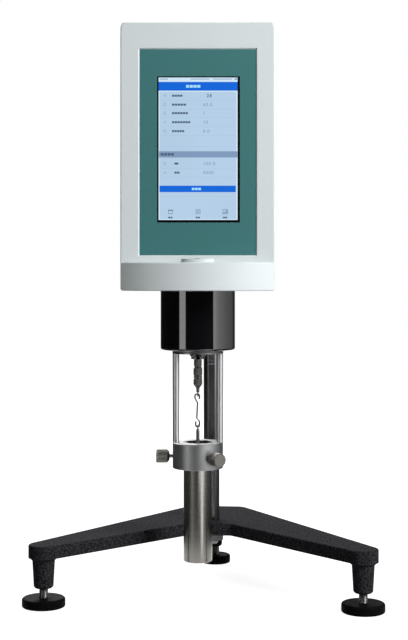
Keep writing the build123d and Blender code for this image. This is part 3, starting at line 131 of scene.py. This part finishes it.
# how the grain is stretched: brushed along X, or in rings round an upright axis
ALONG_X, TURNED = (0.04, 1, 1), (0.05, 0.05, 1)
FINISHES = {
    "casting_paint": finish("casting_paint", (0.024, 0.0242, 0.0272), 0.75, vary=0.85, grain=620, bump=0.0003,
                            rough_vary=0.01, Specular_IOR_Level=0.01),
    "foot_plastic": finish("foot_plastic", (0.004, 0.004, 0.0045), 0.50, vary=0.2, grain=1500,
                           Specular_IOR_Level=0.01),
    "stud_steel": finish("stud_steel", (0.11, 0.11, 0.11), 0.36, 1.0, grain=2500, stretch=TURNED),
    "column_steel": finish("column_steel", (0.19, 0.19, 0.195), 0.20, 1.0, vary=0.02, grain=300, bump=0.0,
                           rough_vary=0.01),
    "rack_steel": finish("rack_steel", (0.20, 0.20, 0.21), 0.38, 1.0, grain=2000, stretch=ALONG_X),
    "black_plastic": finish("black_plastic", (0.014, 0.014, 0.015), 0.45, vary=0.15, grain=2200,
                            bump=0.00003),
    "clamp_paint": finish("clamp_paint", (0.035, 0.036, 0.040), 0.45, vary=0.25, grain=1400, bump=0.00005),
    "bush_brass": finish("bush_brass", (0.62, 0.43, 0.18), 0.30, 1.0, grain=2500, stretch=TURNED),
    "housing_paint": finish("housing_paint", (0.70, 0.755, 0.765), 0.52, vary=0.006, grain=2400,
                            bump=0.000004, rough_vary=0.01, Specular_IOR_Level=0.35),
    "zinc": finish("zinc", (0.55, 0.55, 0.54), 0.30, 1.0, grain=2500),
    "panel_green": finish("panel_green", (0.048, 0.180, 0.182), 0.46, vary=0.04, grain=2600, bump=0.000006,
                          rough_vary=0.02, Specular_IOR_Level=0.30),
    "screen_glass": finish("screen_glass", (0.004, 0.004, 0.005), 0.10, vary=0.1, grain=300, bump=0.0000005,
                           rough_vary=0.02),
    "module_metal": finish("module_metal", (0.48, 0.49, 0.51), 0.36, 1.0, grain=1800, stretch=ALONG_X),
    "level_glass": finish("level_glass", (0.72, 0.86, 0.30), 0.06, vary=0.03, grain=200, bump=0.0000003,
                          rough_vary=0.02, Transmission_Weight=0.75, IOR=1.47),
    "circuit_green": finish("circuit_green", (0.010, 0.12, 0.045), 0.42, vary=0.3, grain=700),
    "collar_gloss": finish("collar_gloss", (0.004, 0.004, 0.005), 0.07, vary=0.1, grain=300, bump=0.0000004,
                           rough_vary=0.015, Coat_Weight=0.5, Coat_Roughness=0.04),
    "flange_metal": finish("flange_metal", (0.16, 0.16, 0.16), 0.34, 1.0, grain=2500, stretch=TURNED),
    "motor_metal": finish("motor_metal", (0.03, 0.03, 0.033), 0.42, vary=0.2, grain=1200),
    "port_metal": finish("port_metal", (0.60, 0.60, 0.60), 0.28, 1.0, grain=1800, stretch=ALONG_X),
    "rocker_plastic": finish("rocker_plastic", (0.012, 0.012, 0.013), 0.24, vary=0.1, grain=1800),
    "shaft_steel": finish("shaft_steel", (0.10, 0.095, 0.09), 0.26, 1.0, grain=3000, stretch=TURNED),
    "disc_metal": finish("disc_metal", (0.58, 0.58, 0.60), 0.28, 1.0, grain=2500),
    "spring_bronze": finish("spring_bronze", (0.62, 0.38, 0.16), 0.28, 1.0, grain=2500),
    "post_chrome": finish("post_chrome", (0.42, 0.42, 0.43), 0.38, 1.0, vary=0.02, grain=300, bump=0.0,
                          rough_vary=0.01),
    "ring_aluminium": finish("ring_aluminium", (0.27, 0.273, 0.277), 0.40, 1.0, vary=0.06, grain=3200,
                             stretch=TURNED, bump=0.000002, rough_vary=0.02),
    "knob_metal": finish("knob_metal", (0.15, 0.144, 0.131), 0.40, 1.0, vary=0.12, grain=3000, bump=0.000006),
    "tube_steel": finish("tube_steel", (0.24, 0.232, 0.215), 0.20, 1.0, vary=0.03, grain=3500, stretch=TURNED,
                         bump=0.0000005, rough_vary=0.02),
    "seal_rubber": finish("seal_rubber", (0.010, 0.010, 0.010), 0.60, grain=1500),
}
# dark crosses on the screw heads: painted shade in place of the hollow of each cross recess
SCREW_RECESS_SHADE = finish("screw_recess_painted_shade", (0.02, 0.02, 0.02), 0.5, 0.6, grain=2500)
BUBBLE = finish("level_bubble", (0.93, 0.96, 0.72), 0.08, vary=0.02, grain=300, Transmission_Weight=0.4)
MARK = finish("level_mark", (0.010, 0.010, 0.012), 0.4, grain=2000)


UNEVEN_GRAIN = 14                         # features per metre in the glow of the screen


def lit(name, colour, vary=0.03):
    """Lit part of the screen: it glows, and is a little uneven."""
    material, shader = shader_of(name)
    value = noise(material, UNEVEN_GRAIN, detail=1.0)
    dark = [channel * (1 - vary) for channel in colour]
    mottle(material, value, dark, colour, shader.inputs["Emission Color"])
    shader.inputs["Base Color"].default_value = (0.01, 0.01, 0.01, 1)
    shader.inputs["Roughness"].default_value = 0.16
    shader.inputs["Emission Strength"].default_value = 1.0
    return material


SCREEN = {
    "pale": lit("screen_pale", (0.455, 0.620, 0.800)),
    "edge": lit("screen_edge", (0.640, 0.800, 0.930)),
    "blue": lit("screen_blue", (0.000, 0.130, 0.700)),
    "bar": lit("screen_bar", (0.215, 0.320, 0.500)),
    "row": lit("screen_row", (0.390, 0.535, 0.715)),
    "dark": lit("screen_dark", (0.070, 0.120, 0.190)),
    "soft": lit("screen_soft", (0.270, 0.350, 0.560)),
    "bright": lit("screen_bright", (0.400, 0.750, 1.000)),
}

for entry in frame["record"]["subparts"]:
    slots = frame["nodes"][entry["node"]].data.materials
    slots.clear()
    slots.append(FINISHES[entry["material_slot"]])

# ---------------------------------------------------------------- building pieces


def piece(name, mesh, material, body):
    """Object of a finished mesh that rides on a body."""
    mesh.materials.clear()
    mesh.materials.append(material)
    made = bpy.data.objects.new(name, mesh)
    bpy.context.scene.collection.objects.link(made)
    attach(made, body)
    return made


def mesh_of(name, build, smooth_angle=35):
    """Mesh filled by build(bm), smooth but for its sharp edges."""
    mesh = bpy.data.meshes.new(name)
    bm = bmesh.new()
    build(bm)
    bmesh.ops.recalc_face_normals(bm, faces=bm.faces)
    bm.to_mesh(mesh)
    bm.free()
    mesh.shade_smooth()
    mesh.set_sharp_from_angle(angle=radians(smooth_angle))
    return mesh


def turned(bm, outline, origin, axis, sides, ribs, rib_depth):
    """Solid turned about an axis. Each outline point is (distance along the axis, radius, ribbed or not)."""
    frame_of_axis = Vector(axis).to_track_quat("Z", "Y").to_matrix()
    rings = []
    for along, radius, ribbed in outline:
        ring = []
        for side in range(sides):
            angle = 2 * pi * side / sides
            depth = rib_depth * (0.5 - 0.5 * cos(ribs * angle)) if ribbed else 0
            local = Vector(((radius - depth) * cos(angle), (radius - depth) * sin(angle), along))
            ring.append(bm.verts.new(Vector(origin) + frame_of_axis @ local))
        rings.append(ring)
    for low, high in zip(rings, rings[1:]):
        for side in range(sides):
            bm.faces.new((low[side], low[(side + 1) % sides], high[(side + 1) % sides], high[side]))
    bm.faces.new(rings[0])
    bm.faces.new(rings[-1])


def slab(bm, left, right, low, high, front, back):
    """Thin upright plate between two depths."""
    centre = Vector(((left + right) / 2, (front + back) / 2, (low + high) / 2))
    size = (right - left, back - front, high - low)
    bmesh.ops.create_cube(bm, size=1, matrix=Matrix.Translation(centre) @ Matrix.Diagonal((*size, 1)))


# ---------------------------------------------------------------- thumb screws, with straight knurls
KNOB_RIBS, RIB_DEPTH = 30, 0.45 * MM
SHANK = 2.0
# (millimetres from the spindle's axis, radius in millimetres, ribbed or not)
KNOB_STEPS = [(16.4, SHANK, False), (31.4, SHANK, False), (32.0, 5.1, False), (34.4, 7.5, False),
              (34.9, 7.5, True), (45.6, 7.5, True), (46.0, 7.4, False), (46.7, 6.8, False)]
steps = [(along * MM, radius * MM, ribbed) for along, radius, ribbed in KNOB_STEPS]
for which in ("left", "right", "rear"):
    joint = joints[f"thumb_{which}_turn"]
    mesh = mesh_of(f"thumb_screw_knurled_{which}", lambda bm: turned(
        bm, steps, joint["pos_m"], joint["axis"], sides=KNOB_RIBS * 8, ribs=KNOB_RIBS, rib_depth=RIB_DEPTH))
    knob = piece(f"thumb_screw_knurled_{which}", mesh, FINISHES["knob_metal"], f"thumb_{which}")
    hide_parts(f"thumb_screw_{which}")

# ---------------------------------------------------------------- levelling studs, threaded
PITCH, THREAD_DEPTH, STEPS_PER_PITCH, STUD_SIDES = 1.5 * MM, 0.5 * MM, 6, 32


def thread(bm, low, high):
    """Helical ridge on a stud that fills the box from low to high, with plain ends."""
    radius = (high.x - low.x) / 2
    centre = ((low.x + high.x) / 2, (low.y + high.y) / 2)
    rows = int((high.z - low.z) / PITCH * STEPS_PER_PITCH)
    rings = []
    for row in range(rows + 1):
        z = low.z + (high.z - low.z) * row / rows
        ring = []
        for side in range(STUD_SIDES):
            turn = side / STUD_SIDES
            phase = (z / PITCH - turn) % 1
            depth = THREAD_DEPTH * abs(2 * phase - 1) if 0 < row < rows else THREAD_DEPTH
            angle = 2 * pi * turn
            ring.append(bm.verts.new((centre[0] + (radius - depth) * cos(angle),
                                      centre[1] + (radius - depth) * sin(angle), z)))
        rings.append(ring)
    for below, above in zip(rings, rings[1:]):
        for side in range(STUD_SIDES):
            after = (side + 1) % STUD_SIDES
            bm.faces.new((below[side], below[after], above[after], above[side]))
    bm.faces.new(rings[0])
    bm.faces.new(rings[-1])


for which in ("left", "right", "rear"):
    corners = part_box(f"foot_stud_{which}")
    mesh = mesh_of(f"stud_thread_{which}", lambda bm: thread(bm, *corners), smooth_angle=50)
    stud = piece(f"stud_thread_{which}", mesh, FINISHES["stud_steel"], f"foot_{which}_screw")
    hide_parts(f"foot_stud_{which}")

# ---------------------------------------------------------------- knurled bands of the coupling
NUT_LOW, NUT_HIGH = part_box("coupling_nut")
BAND_RIBS, BAND_DEPTH, BAND_PROUD = 22, 0.35 * MM, 0.15 * MM
WIDE_RADIUS = (NUT_HIGH.x - NUT_LOW.x) / 2
BAND_ROOT, BAND_BEVEL = 0.4 * MM, 0.2 * MM       # how deep a band's ends start, and how long they rise
# (lower and upper height above the table in millimetres, radius of the barrel under the band in metres)
BANDS = [(250.6, 258.0, WIDE_RADIUS), (240.8, 245.8, WIDE_RADIUS), (261.2, 267.2, WIDE_RADIUS - 0.5 * MM)]
for index, (low, high, barrel) in enumerate(BANDS):
    outer = barrel + BAND_PROUD
    steps = [(low * MM, barrel - BAND_ROOT, False), (low * MM + BAND_BEVEL, outer, True),
             (high * MM - BAND_BEVEL, outer, True), (high * MM, barrel - BAND_ROOT, False)]
    mesh = mesh_of(f"coupling_band_{index}", lambda bm: turned(
        bm, steps, SPINDLE, (0, 0, 1), sides=BAND_RIBS * 6, ribs=BAND_RIBS, rib_depth=BAND_DEPTH))
    piece(f"coupling_band_{index}", mesh, FINISHES["shaft_steel"], "spindle")

# ---------------------------------------------------------------- level: bubble and its ring
LENS_LOW, LENS_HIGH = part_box("level_lens")
LENS_CENTRE = (LENS_LOW + LENS_HIGH) / 2
BUBBLE_RADIUS, BUBBLE_HEIGHT, BUBBLE_DEPTH = 2.2 * MM, 0.7 * MM, 0.5 * MM
MARK_RADIUS, MARK_WIDTH, MARK_THICK, MARK_DEPTH = 2.7 * MM, 0.25 * MM, 0.1 * MM, 0.45 * MM


def bubble(bm):
    """Flattened bubble, just under the top of the lens."""
    place = Matrix.Translation((LENS_CENTRE.x, LENS_CENTRE.y, LENS_HIGH.z - BUBBLE_HEIGHT - BUBBLE_DEPTH))
    flattened = Matrix.Diagonal((BUBBLE_RADIUS, BUBBLE_RADIUS, BUBBLE_HEIGHT, 1))
    bmesh.ops.create_uvsphere(bm, u_segments=32, v_segments=16, radius=1, matrix=place @ flattened)


def ring_mark(bm):
    """Flat printed ring, as a closed band."""
    sides, outer = 48, MARK_RADIUS + MARK_WIDTH
    low = LENS_HIGH.z - MARK_DEPTH
    high = low + MARK_THICK
    corners = [(MARK_RADIUS, low), (outer, low), (outer, high), (MARK_RADIUS, high)]
    rings = []
    for side in range(sides):
        angle = 2 * pi * side / sides
        rings.append([bm.verts.new((LENS_CENTRE.x + r * cos(angle), LENS_CENTRE.y + r * sin(angle), z))
                      for r, z in corners])
    for side in range(sides):
        here, there = rings[side], rings[(side + 1) % sides]
        for corner in range(4):
            after = (corner + 1) % 4
            bm.faces.new((here[corner], there[corner], there[after], here[after]))


piece("level_bubble", mesh_of("level_bubble", bubble), BUBBLE, "head")
piece("level_mark", mesh_of("level_mark", ring_mark), MARK, "head")

# ---------------------------------------------------------------- screen: lit area, bars, rows and icons
GLASS_LOW, GLASS_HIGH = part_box("display_glass")
FRAME_X, FRAME_TOP, FRAME_LOW = 1.6, 1.3, 2.7   # black border, in the millimetres of the screen
SCREEN_WIDTH = (GLASS_HIGH.x - GLASS_LOW.x) / MM
SCREEN_HEIGHT = (GLASS_HIGH.z - GLASS_LOW.z) / MM
LAYER = 0.04 * MM
LIT_RIGHT, LIT_BOTTOM = SCREEN_WIDTH - FRAME_X - 0.9, SCREEN_HEIGHT - FRAME_LOW


def on_screen(bm, left, right, top, bottom, layer):
    """Plate on the glass; its sides are in millimetres from the glass's upper left corner."""
    front = GLASS_LOW.y - LAYER * (layer + 1)
    slab(bm, GLASS_LOW.x + left * MM, GLASS_LOW.x + right * MM, GLASS_HIGH.z - bottom * MM,
         GLASS_HIGH.z - top * MM, front, front + LAYER)


def screen_piece(name, colour, layer, plates):
    """One piece of several plates of a colour, each (left, right, top, bottom)."""
    def build(bm):
        for left, right, top, bottom in plates:
            on_screen(bm, left, right, top, bottom, layer)
    piece(name, mesh_of(name, build), SCREEN[colour], "head")


BLOCK_STEP, BLOCK_SHARE = 1.18, 0.84      # a block's step in its heights, and the share of it that is filled


def greeked(left, right, top, bottom):
    """Bars in place of a word: nearly square blocks with narrow gaps."""
    count = max(int((right - left) / ((bottom - top) * BLOCK_STEP)), 1)
    step = (right - left) / count
    return [(left + step * i, left + step * i + step * BLOCK_SHARE, top, bottom) for i in range(count)]


# the layout of the screen, in its own millimetres across and down
ROWS = [20.8, 30.4, 39.5, 49.2, 58.8]
LABEL_ENDS = [27.6, 31.5, 33.5, 36.0, 29.5]
READINGS, READING_ENDS = [93.6, 103.3], [23.5, 24.5]
LABEL_HALF, LABEL_LEFT, READING_LEFT = 1.1, 16.0, 18.6
ICON_X, ICON_HALF, STROKE = 8.2, 1.5, 0.45
NAV_X, NAV_Y = [14.4, 43.9, 73.1], 145.2
TITLE_BAR, BUTTON_BAR, SECTION_BAR = (6.0, 15.4), (117.3, 124.2), (80.4, 87.1)
BUTTON_LEFT, BUTTON_RIGHT, GROUND_TOP = 2.6, 84.4, 16.6
LINE_LEFT, LINE_RIGHT, LINE_WIDTH, EMPTY_LINE, LAST_LINE = 4.0, 82.0, 0.35, 75.0, 128.8

screen_piece("screen_lit", "edge", 0, [(FRAME_X, LIT_RIGHT, FRAME_TOP, LIT_BOTTOM)])
screen_piece("screen_ground", "pale", 1, [(FRAME_X + 1.2, LIT_RIGHT - 1.4, GROUND_TOP, LIT_BOTTOM - 1.0)])
screen_piece("screen_blue_bars", "blue", 2, [(FRAME_X, LIT_RIGHT, *TITLE_BAR),
                                             (BUTTON_LEFT, BUTTON_RIGHT, *BUTTON_BAR)])
screen_piece("screen_section_bar", "bar", 2, [(FRAME_X + 0.4, LIT_RIGHT - 0.2, *SECTION_BAR)])
LINES = [row + 4.7 for row in ROWS] + [EMPTY_LINE] + [reading + 4.8 for reading in READINGS] + [LAST_LINE]
screen_piece("screen_row_lines", "row", 2, [(LINE_LEFT, LINE_RIGHT, y, y + LINE_WIDTH) for y in LINES])
labels = [bar for row, end in zip(ROWS, LABEL_ENDS) for bar in
          greeked(LABEL_LEFT, end, row - LABEL_HALF, row + LABEL_HALF)]
labels += [bar for row, end in zip(READINGS, READING_ENDS) for bar in
           greeked(READING_LEFT, end, row - LABEL_HALF, row + LABEL_HALF)]
labels += greeked(3.8, 18.6, 82.4, 85.0)
labels += [bar for x in NAV_X for bar in greeked(x - 2.4, x + 2.4, 150.6, 152.4)]
screen_piece("screen_labels", "dark", 3, labels)
screen_piece("screen_title_words", "bright", 3,
             greeked(31.0, 47.0, 9.3, 12.2) + greeked(37.2, 47.6, 119.6, 122.0))
status = [(2.6, 11.5, 2.5, 3.5), (36.0, 56.0, 2.5, 3.4), (60.0, 80.0, 2.5, 3.4), (83.0, 86.0, 2.1, 3.8)]
screen_piece("screen_status", "soft", 3, status)


def outline_box(x, y, half_x, half_y, line=STROKE):
    """Hollow rectangle of four strokes."""
    return [(x - half_x, x + half_x, y - half_y, y - half_y + line),
            (x - half_x, x + half_x, y + half_y - line, y + half_y),
            (x - half_x, x - half_x + line, y - half_y, y + half_y),
            (x + half_x - line, x + half_x, y - half_y, y + half_y)]


def bar_at(x, y, half_x, half_y):
    """Filled bar about a point."""
    return (x - half_x, x + half_x, y - half_y, y + half_y)


icons = []
for index, row in enumerate(ROWS + READINGS):
    if index % 3 == 0:       # a plus
        icons += [bar_at(ICON_X, row, 1.4, 0.25), bar_at(ICON_X, row, 0.25, 1.4)]
    elif index % 3 == 1:     # a box
        icons += outline_box(ICON_X, row, ICON_HALF, ICON_HALF)
    else:                    # a beam on its side
        inner = ICON_HALF - STROKE
        icons += [(ICON_X - ICON_HALF, ICON_X + ICON_HALF, row - ICON_HALF, row - inner),
                  (ICON_X - ICON_HALF, ICON_X + ICON_HALF, row + inner, row + ICON_HALF),
                  bar_at(ICON_X, row, 0.3, inner)]
screen_piece("screen_row_icons", "soft", 3, icons)

home = outline_box(NAV_X[0], NAV_Y + 0.5, 2.2, 2.0)
home.append((NAV_X[0] - 2.9, NAV_X[0] + 2.9, NAV_Y - 2.0, NAV_Y - 1.4))
grid = [bar for dx in (-1.5, 1.5) for dy in (-1.4, 1.4) for bar in
        outline_box(NAV_X[1] + dx, NAV_Y + dy, 1.1, 1.1, 0.35)]
chart = outline_box(NAV_X[2], NAV_Y, 2.7, 2.5)
for dx, tall in ((-1.3, 1.2), (0, 2.2), (1.3, 3.0)):
    chart.append((NAV_X[2] + dx - 0.3, NAV_X[2] + dx + 0.3, NAV_Y + 1.6 - tall, NAV_Y + 1.6))
screen_piece("screen_nav_icons", "dark", 3, home + grid + chart)

DIGITS = [("28", 53.2, ROWS[0], "dark"), ("60.0", 49.2, ROWS[1], "soft"), ("1", 49.2, ROWS[2], "soft"),
          ("10", 49.2, ROWS[3], "soft"), ("0.0", 49.2, ROWS[4], "soft"), ("100.0", 49.2, READINGS[0], "soft"),
          ("0000", 49.2, READINGS[1], "soft")]
DIGIT_SIZE, DIGIT_BOLD, DIGIT_SPACING, DIGIT_DROP = 4.8 * MM, 0.09 * MM, 1.25, 1.6
for index, (text, left, row, colour) in enumerate(DIGITS):
    curve = bpy.data.curves.new(f"screen_digits_{index}", "FONT")
    curve.body, curve.size, curve.extrude = text, DIGIT_SIZE, LAYER / 2
    curve.space_character, curve.offset = DIGIT_SPACING, DIGIT_BOLD
    source = bpy.data.objects.new(f"digits_source_{index}", curve)
    mesh = bpy.data.meshes.new_from_object(source)
    stand_up = Matrix.Rotation(pi / 2, 4, "X")
    place = Matrix.Translation((GLASS_LOW.x + left * MM, GLASS_LOW.y - LAYER * 3.5,
                                GLASS_HIGH.z - (row + DIGIT_DROP) * MM))
    mesh.transform(place @ stand_up)
    bpy.data.objects.remove(source)
    piece(f"screen_digits_{index}", mesh, SCREEN[colour], "head")

# ---------------------------------------------------------------- cross recesses of the screws at the back, drawn as flat crosses of painted shade
CROSS_HALF, CROSS_ARM, CROSS_DEEP = 1.5 * MM, 0.32 * MM, 0.08 * MM


def painted_shade_crosses(centres, face_y):
    """Builder of a thin dark cross of painted shade at each centre on a face, in place of a recess."""
    def build(bm):
        for x, z in centres:
            for half, low, high in ((CROSS_HALF, -CROSS_ARM, CROSS_ARM), (CROSS_ARM, -CROSS_HALF, -CROSS_ARM),
                                    (CROSS_ARM, CROSS_ARM, CROSS_HALF)):
                slab(bm, x - half, x + half, z + low, z + high, face_y, face_y + CROSS_DEEP)
    return build


# each group of screws stands in two columns
for node, rows, head_radius in (("housing_screws", 3, 3.2 * MM), ("flange_screws", 2, 3.6 * MM)):
    low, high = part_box(node)
    xs = [low.x + head_radius, high.x - head_radius]
    climb = (high.z - low.z - 2 * head_radius) / (rows - 1)
    zs = [low.z + head_radius + climb * row for row in range(rows)]
    centres = [(x, z) for x in xs for z in zs]
    # flat dark crosses of painted shade where the screw recesses are
    piece(f"{node}_recess_painted_shade", mesh_of(f"{node}_recess_painted_shade", painted_shade_crosses(centres, high.y)), SCREW_RECESS_SHADE, "head")

# ---------------------------------------------------------------- floor, light and camera
AMBIENT = 0.05                            # strength of the white world on surfaces that scatter
FLOOR_HALF, FLOOR_GREY = 4.0, 0.30
# the floor's glow grows with the distance from the object, so that it is white where no shadow falls
NEAR, FAR, NEAR_GLOW = 0.26, 0.60, 0.93


def seen_by_view(tree):
    """Socket that is 1 for camera, gloss and transmission rays, and 0 for the others."""
    path = tree.nodes.new("ShaderNodeLightPath")
    result = path.outputs["Is Camera Ray"]
    for ray in ("Is Glossy Ray", "Is Transmission Ray"):
        either = tree.nodes.new("ShaderNodeMath")
        either.operation = "MAXIMUM"
        tree.links.new(result, either.inputs[0])
        tree.links.new(path.outputs[ray], either.inputs[1])
        result = either.outputs[0]
    return result


def map_range(tree, value, **limits):
    """Socket with a value mapped between the limits given."""
    node = tree.nodes.new("ShaderNodeMapRange")
    for socket, limit in limits.items():
        node.inputs[socket.replace("_", " ")].default_value = limit
    tree.links.new(value, node.inputs["Value"])
    return node.outputs["Result"]


world = bpy.data.worlds.new("studio")
bpy.context.scene.world = world
world.use_nodes = True
background = world.node_tree.nodes["Background"]
background.inputs["Color"].default_value = (1, 1, 1, 1)
strength = map_range(world.node_tree, seen_by_view(world.node_tree), To_Min=AMBIENT, To_Max=1.0)
world.node_tree.links.new(strength, background.inputs["Strength"])

floor_mesh = bpy.data.meshes.new("floor")
floor_mesh.from_pydata([(-FLOOR_HALF, -FLOOR_HALF, 0), (FLOOR_HALF, -FLOOR_HALF, 0),
                        (FLOOR_HALF, FLOOR_HALF, 0), (-FLOOR_HALF, FLOOR_HALF, 0)], [], [(0, 1, 2, 3)])
floor = bpy.data.objects.new("floor", floor_mesh)
bpy.context.scene.collection.objects.link(floor)
floor_material, floor_shader = shader_of("floor")
floor_shader.inputs["Base Color"].default_value = (FLOOR_GREY, FLOOR_GREY, FLOOR_GREY, 1)
floor_shader.inputs["Roughness"].default_value = 1.0
floor_shader.inputs["Specular IOR Level"].default_value = 0.0
floor_shader.inputs["Emission Color"].default_value = (1, 1, 1, 1)
floor_tree = floor_material.node_tree
floor_place = floor_tree.nodes.new("ShaderNodeTexCoord")
floor_distance = floor_tree.nodes.new("ShaderNodeVectorMath")
floor_distance.operation = "LENGTH"
floor_tree.links.new(floor_place.outputs["Object"], floor_distance.inputs[0])
floor_glow = map_range(floor_tree, floor_distance.outputs["Value"],
                       From_Min=NEAR, From_Max=FAR, To_Min=NEAR_GLOW, To_Max=1.0)
floor_level = floor_tree.nodes.new("ShaderNodeMath")
floor_level.operation = "MULTIPLY"
floor_tree.links.new(seen_by_view(floor_tree), floor_level.inputs[0])
floor_tree.links.new(floor_glow, floor_level.inputs[1])
floor_tree.links.new(floor_level.outputs[0], floor_shader.inputs["Emission Strength"])
floor_mesh.materials.append(floor_material)

AIM = Vector((SPINDLE.x, SPINDLE.y, 0.36))
POWER_PER_RADIANCE = 4                    # watts of a panel for each square metre and unit of radiance


def toward(azimuth, elevation, distance):
    """Point seen from the aim at an azimuth (0 is the front, positive to the right) and elevation."""
    flat = distance * cos(radians(elevation))
    return AIM + Vector((flat * sin(radians(azimuth)), -flat * cos(radians(azimuth)),
                         distance * sin(radians(elevation))))


def panel_light(name, azimuth, elevation, distance, side, radiance):
    """Square light that faces the object, set by its radiance."""
    data = bpy.data.lights.new(name, "AREA")
    data.shape, data.size, data.size_y = "RECTANGLE", side, side
    data.energy = radiance * POWER_PER_RADIANCE * side * side
    lamp = bpy.data.objects.new(name, data)
    bpy.context.scene.collection.objects.link(lamp)
    lamp.location = toward(azimuth, elevation, distance)
    lamp.rotation_euler = (AIM - lamp.location).to_track_quat("-Z", "Y").to_euler()
    lamp.visible_camera = False


panel_light("main", 50, 24, 2.2, 1.0, 14.2)
panel_light("back", 198, 30, 2.4, 1.2, 8.0)
panel_light("back_left", 234, 30, 2.4, 1.0, 4.5)

# Dark screens and a dark floor cloth with bright stripes, seen only in gloss, stand round the front and
# sides as flags do in a studio; the white floor and backdrop stay open to gloss behind the object. The
# upright gloss of the head mirrors the screens, and the metal lower down mirrors the cloth, the ring its
# middle band. Each profile is points of (azimuth, radiance).
OPEN_BACK = 14                            # degrees left open each side of straight back
REACH = 180 - OPEN_BACK                   # degrees that the flags reach each way from the front
CLOTH_GLOW = [(-REACH, 0), (-62, 0), (-56, 0.24), (-34, 0.24), (-28, 0.1), (22, 0.1), (27, 2.4), (40, 2.4),
              (46, 0.2), (80, 0), (REACH, 0)]
RING_GLOW = [(-REACH, 0), (-60, 0.1), (-46, 0.4), (-30, 0.4), (-16, 0.1), (0, 0.2), (14, 3.0), (50, 3.0),
             (60, 0.3), (80, 0.1), (REACH, 0)]
SCREEN_GLOW = [(-REACH, 0), (-58, 0), (-57, 3.3), (-38, 3.3), (-37, 0), (48, 0), (49, 3.2), (66, 1.9),
               (100, 0.8), (136, 0.15), (150, 0), (REACH, 0)]
CLOTH_NEAR, MIDDLE_NEAR, MIDDLE_FAR, CLOTH_FAR = 0.30, 0.85, 1.6, 2.8   # distances of the cloth's bands
CLOTH_HEIGHT, SCREEN_TOP = 0.001, 2.6     # the screens rise from the far edge of the cloth
# each band runs between two points of (distance, height)
FLAG_BANDS = [((CLOTH_NEAR, CLOTH_HEIGHT), (MIDDLE_NEAR, CLOTH_HEIGHT), CLOTH_GLOW),
              ((MIDDLE_NEAR, CLOTH_HEIGHT), (MIDDLE_FAR, CLOTH_HEIGHT), RING_GLOW),
              ((MIDDLE_FAR, CLOTH_HEIGHT), (CLOTH_FAR, CLOTH_HEIGHT), CLOTH_GLOW),
              ((CLOTH_FAR, CLOTH_HEIGHT), (CLOTH_FAR, SCREEN_TOP), SCREEN_GLOW)]


def glow_at(profile, azimuth):
    """Radiance of a profile at an azimuth."""
    for (start, low), (end, high) in zip(profile, profile[1:]):
        if start <= azimuth <= end:
            return low + (high - low) * (azimuth - start) / (end - start)


def gloss_flags(bm):
    """Curved screen on its floor cloth, with a pair of points in each band for each degree."""
    radiance = bm.verts.layers.float.new("radiance")
    for start, end, profile in FLAG_BANDS:
        pairs = []
        for azimuth in range(-REACH, REACH + 1):
            pair = []
            for distance, height in (start, end):
                place = toward(azimuth, 0, distance)
                corner = bm.verts.new((place.x, place.y, height))
                corner[radiance] = glow_at(profile, azimuth)
                pair.append(corner)
            pairs.append(pair)
        for here, there in zip(pairs, pairs[1:]):
            bm.faces.new((here[0], there[0], there[1], here[1]))


flag_material, flag_shader = shader_of("gloss_flags")
flag_shader.inputs["Base Color"].default_value = (0.004, 0.004, 0.004, 1)
flag_shader.inputs["Roughness"].default_value = 1.0
flag_shader.inputs["Emission Color"].default_value = (1, 1, 1, 1)
radiance_of = flag_material.node_tree.nodes.new("ShaderNodeAttribute")
radiance_of.attribute_name = "radiance"
flag_material.node_tree.links.new(radiance_of.outputs["Fac"], flag_shader.inputs["Emission Strength"])
flag_mesh = mesh_of("gloss_flags", gloss_flags)
flag_mesh.materials.append(flag_material)
flags = bpy.data.objects.new("gloss_flags", flag_mesh)
bpy.context.scene.collection.objects.link(flags)
flags.visible_camera = flags.visible_diffuse = flags.visible_shadow = flags.visible_transmission = False

CAMERA_PLACE = (0.0020, -1.5617, 0.3623)
SENSOR, FOCAL_PIXELS, IMAGE_HEIGHT, HORIZON_ROW = 36.0, 1340.0, 640, 275
camera_data = bpy.data.cameras.new("camera")
camera_data.sensor_fit, camera_data.sensor_height = "VERTICAL", SENSOR
camera_data.lens = FOCAL_PIXELS * SENSOR / IMAGE_HEIGHT
camera_data.shift_y = (HORIZON_ROW - IMAGE_HEIGHT / 2) / IMAGE_HEIGHT
camera = bpy.data.objects.new("camera", camera_data)
bpy.context.scene.collection.objects.link(camera)
camera.location = CAMERA_PLACE
camera.rotation_euler = (pi / 2, 0, 0)
bpy.context.scene.camera = camera
bpy.context.scene.view_settings.view_transform = "Standard"
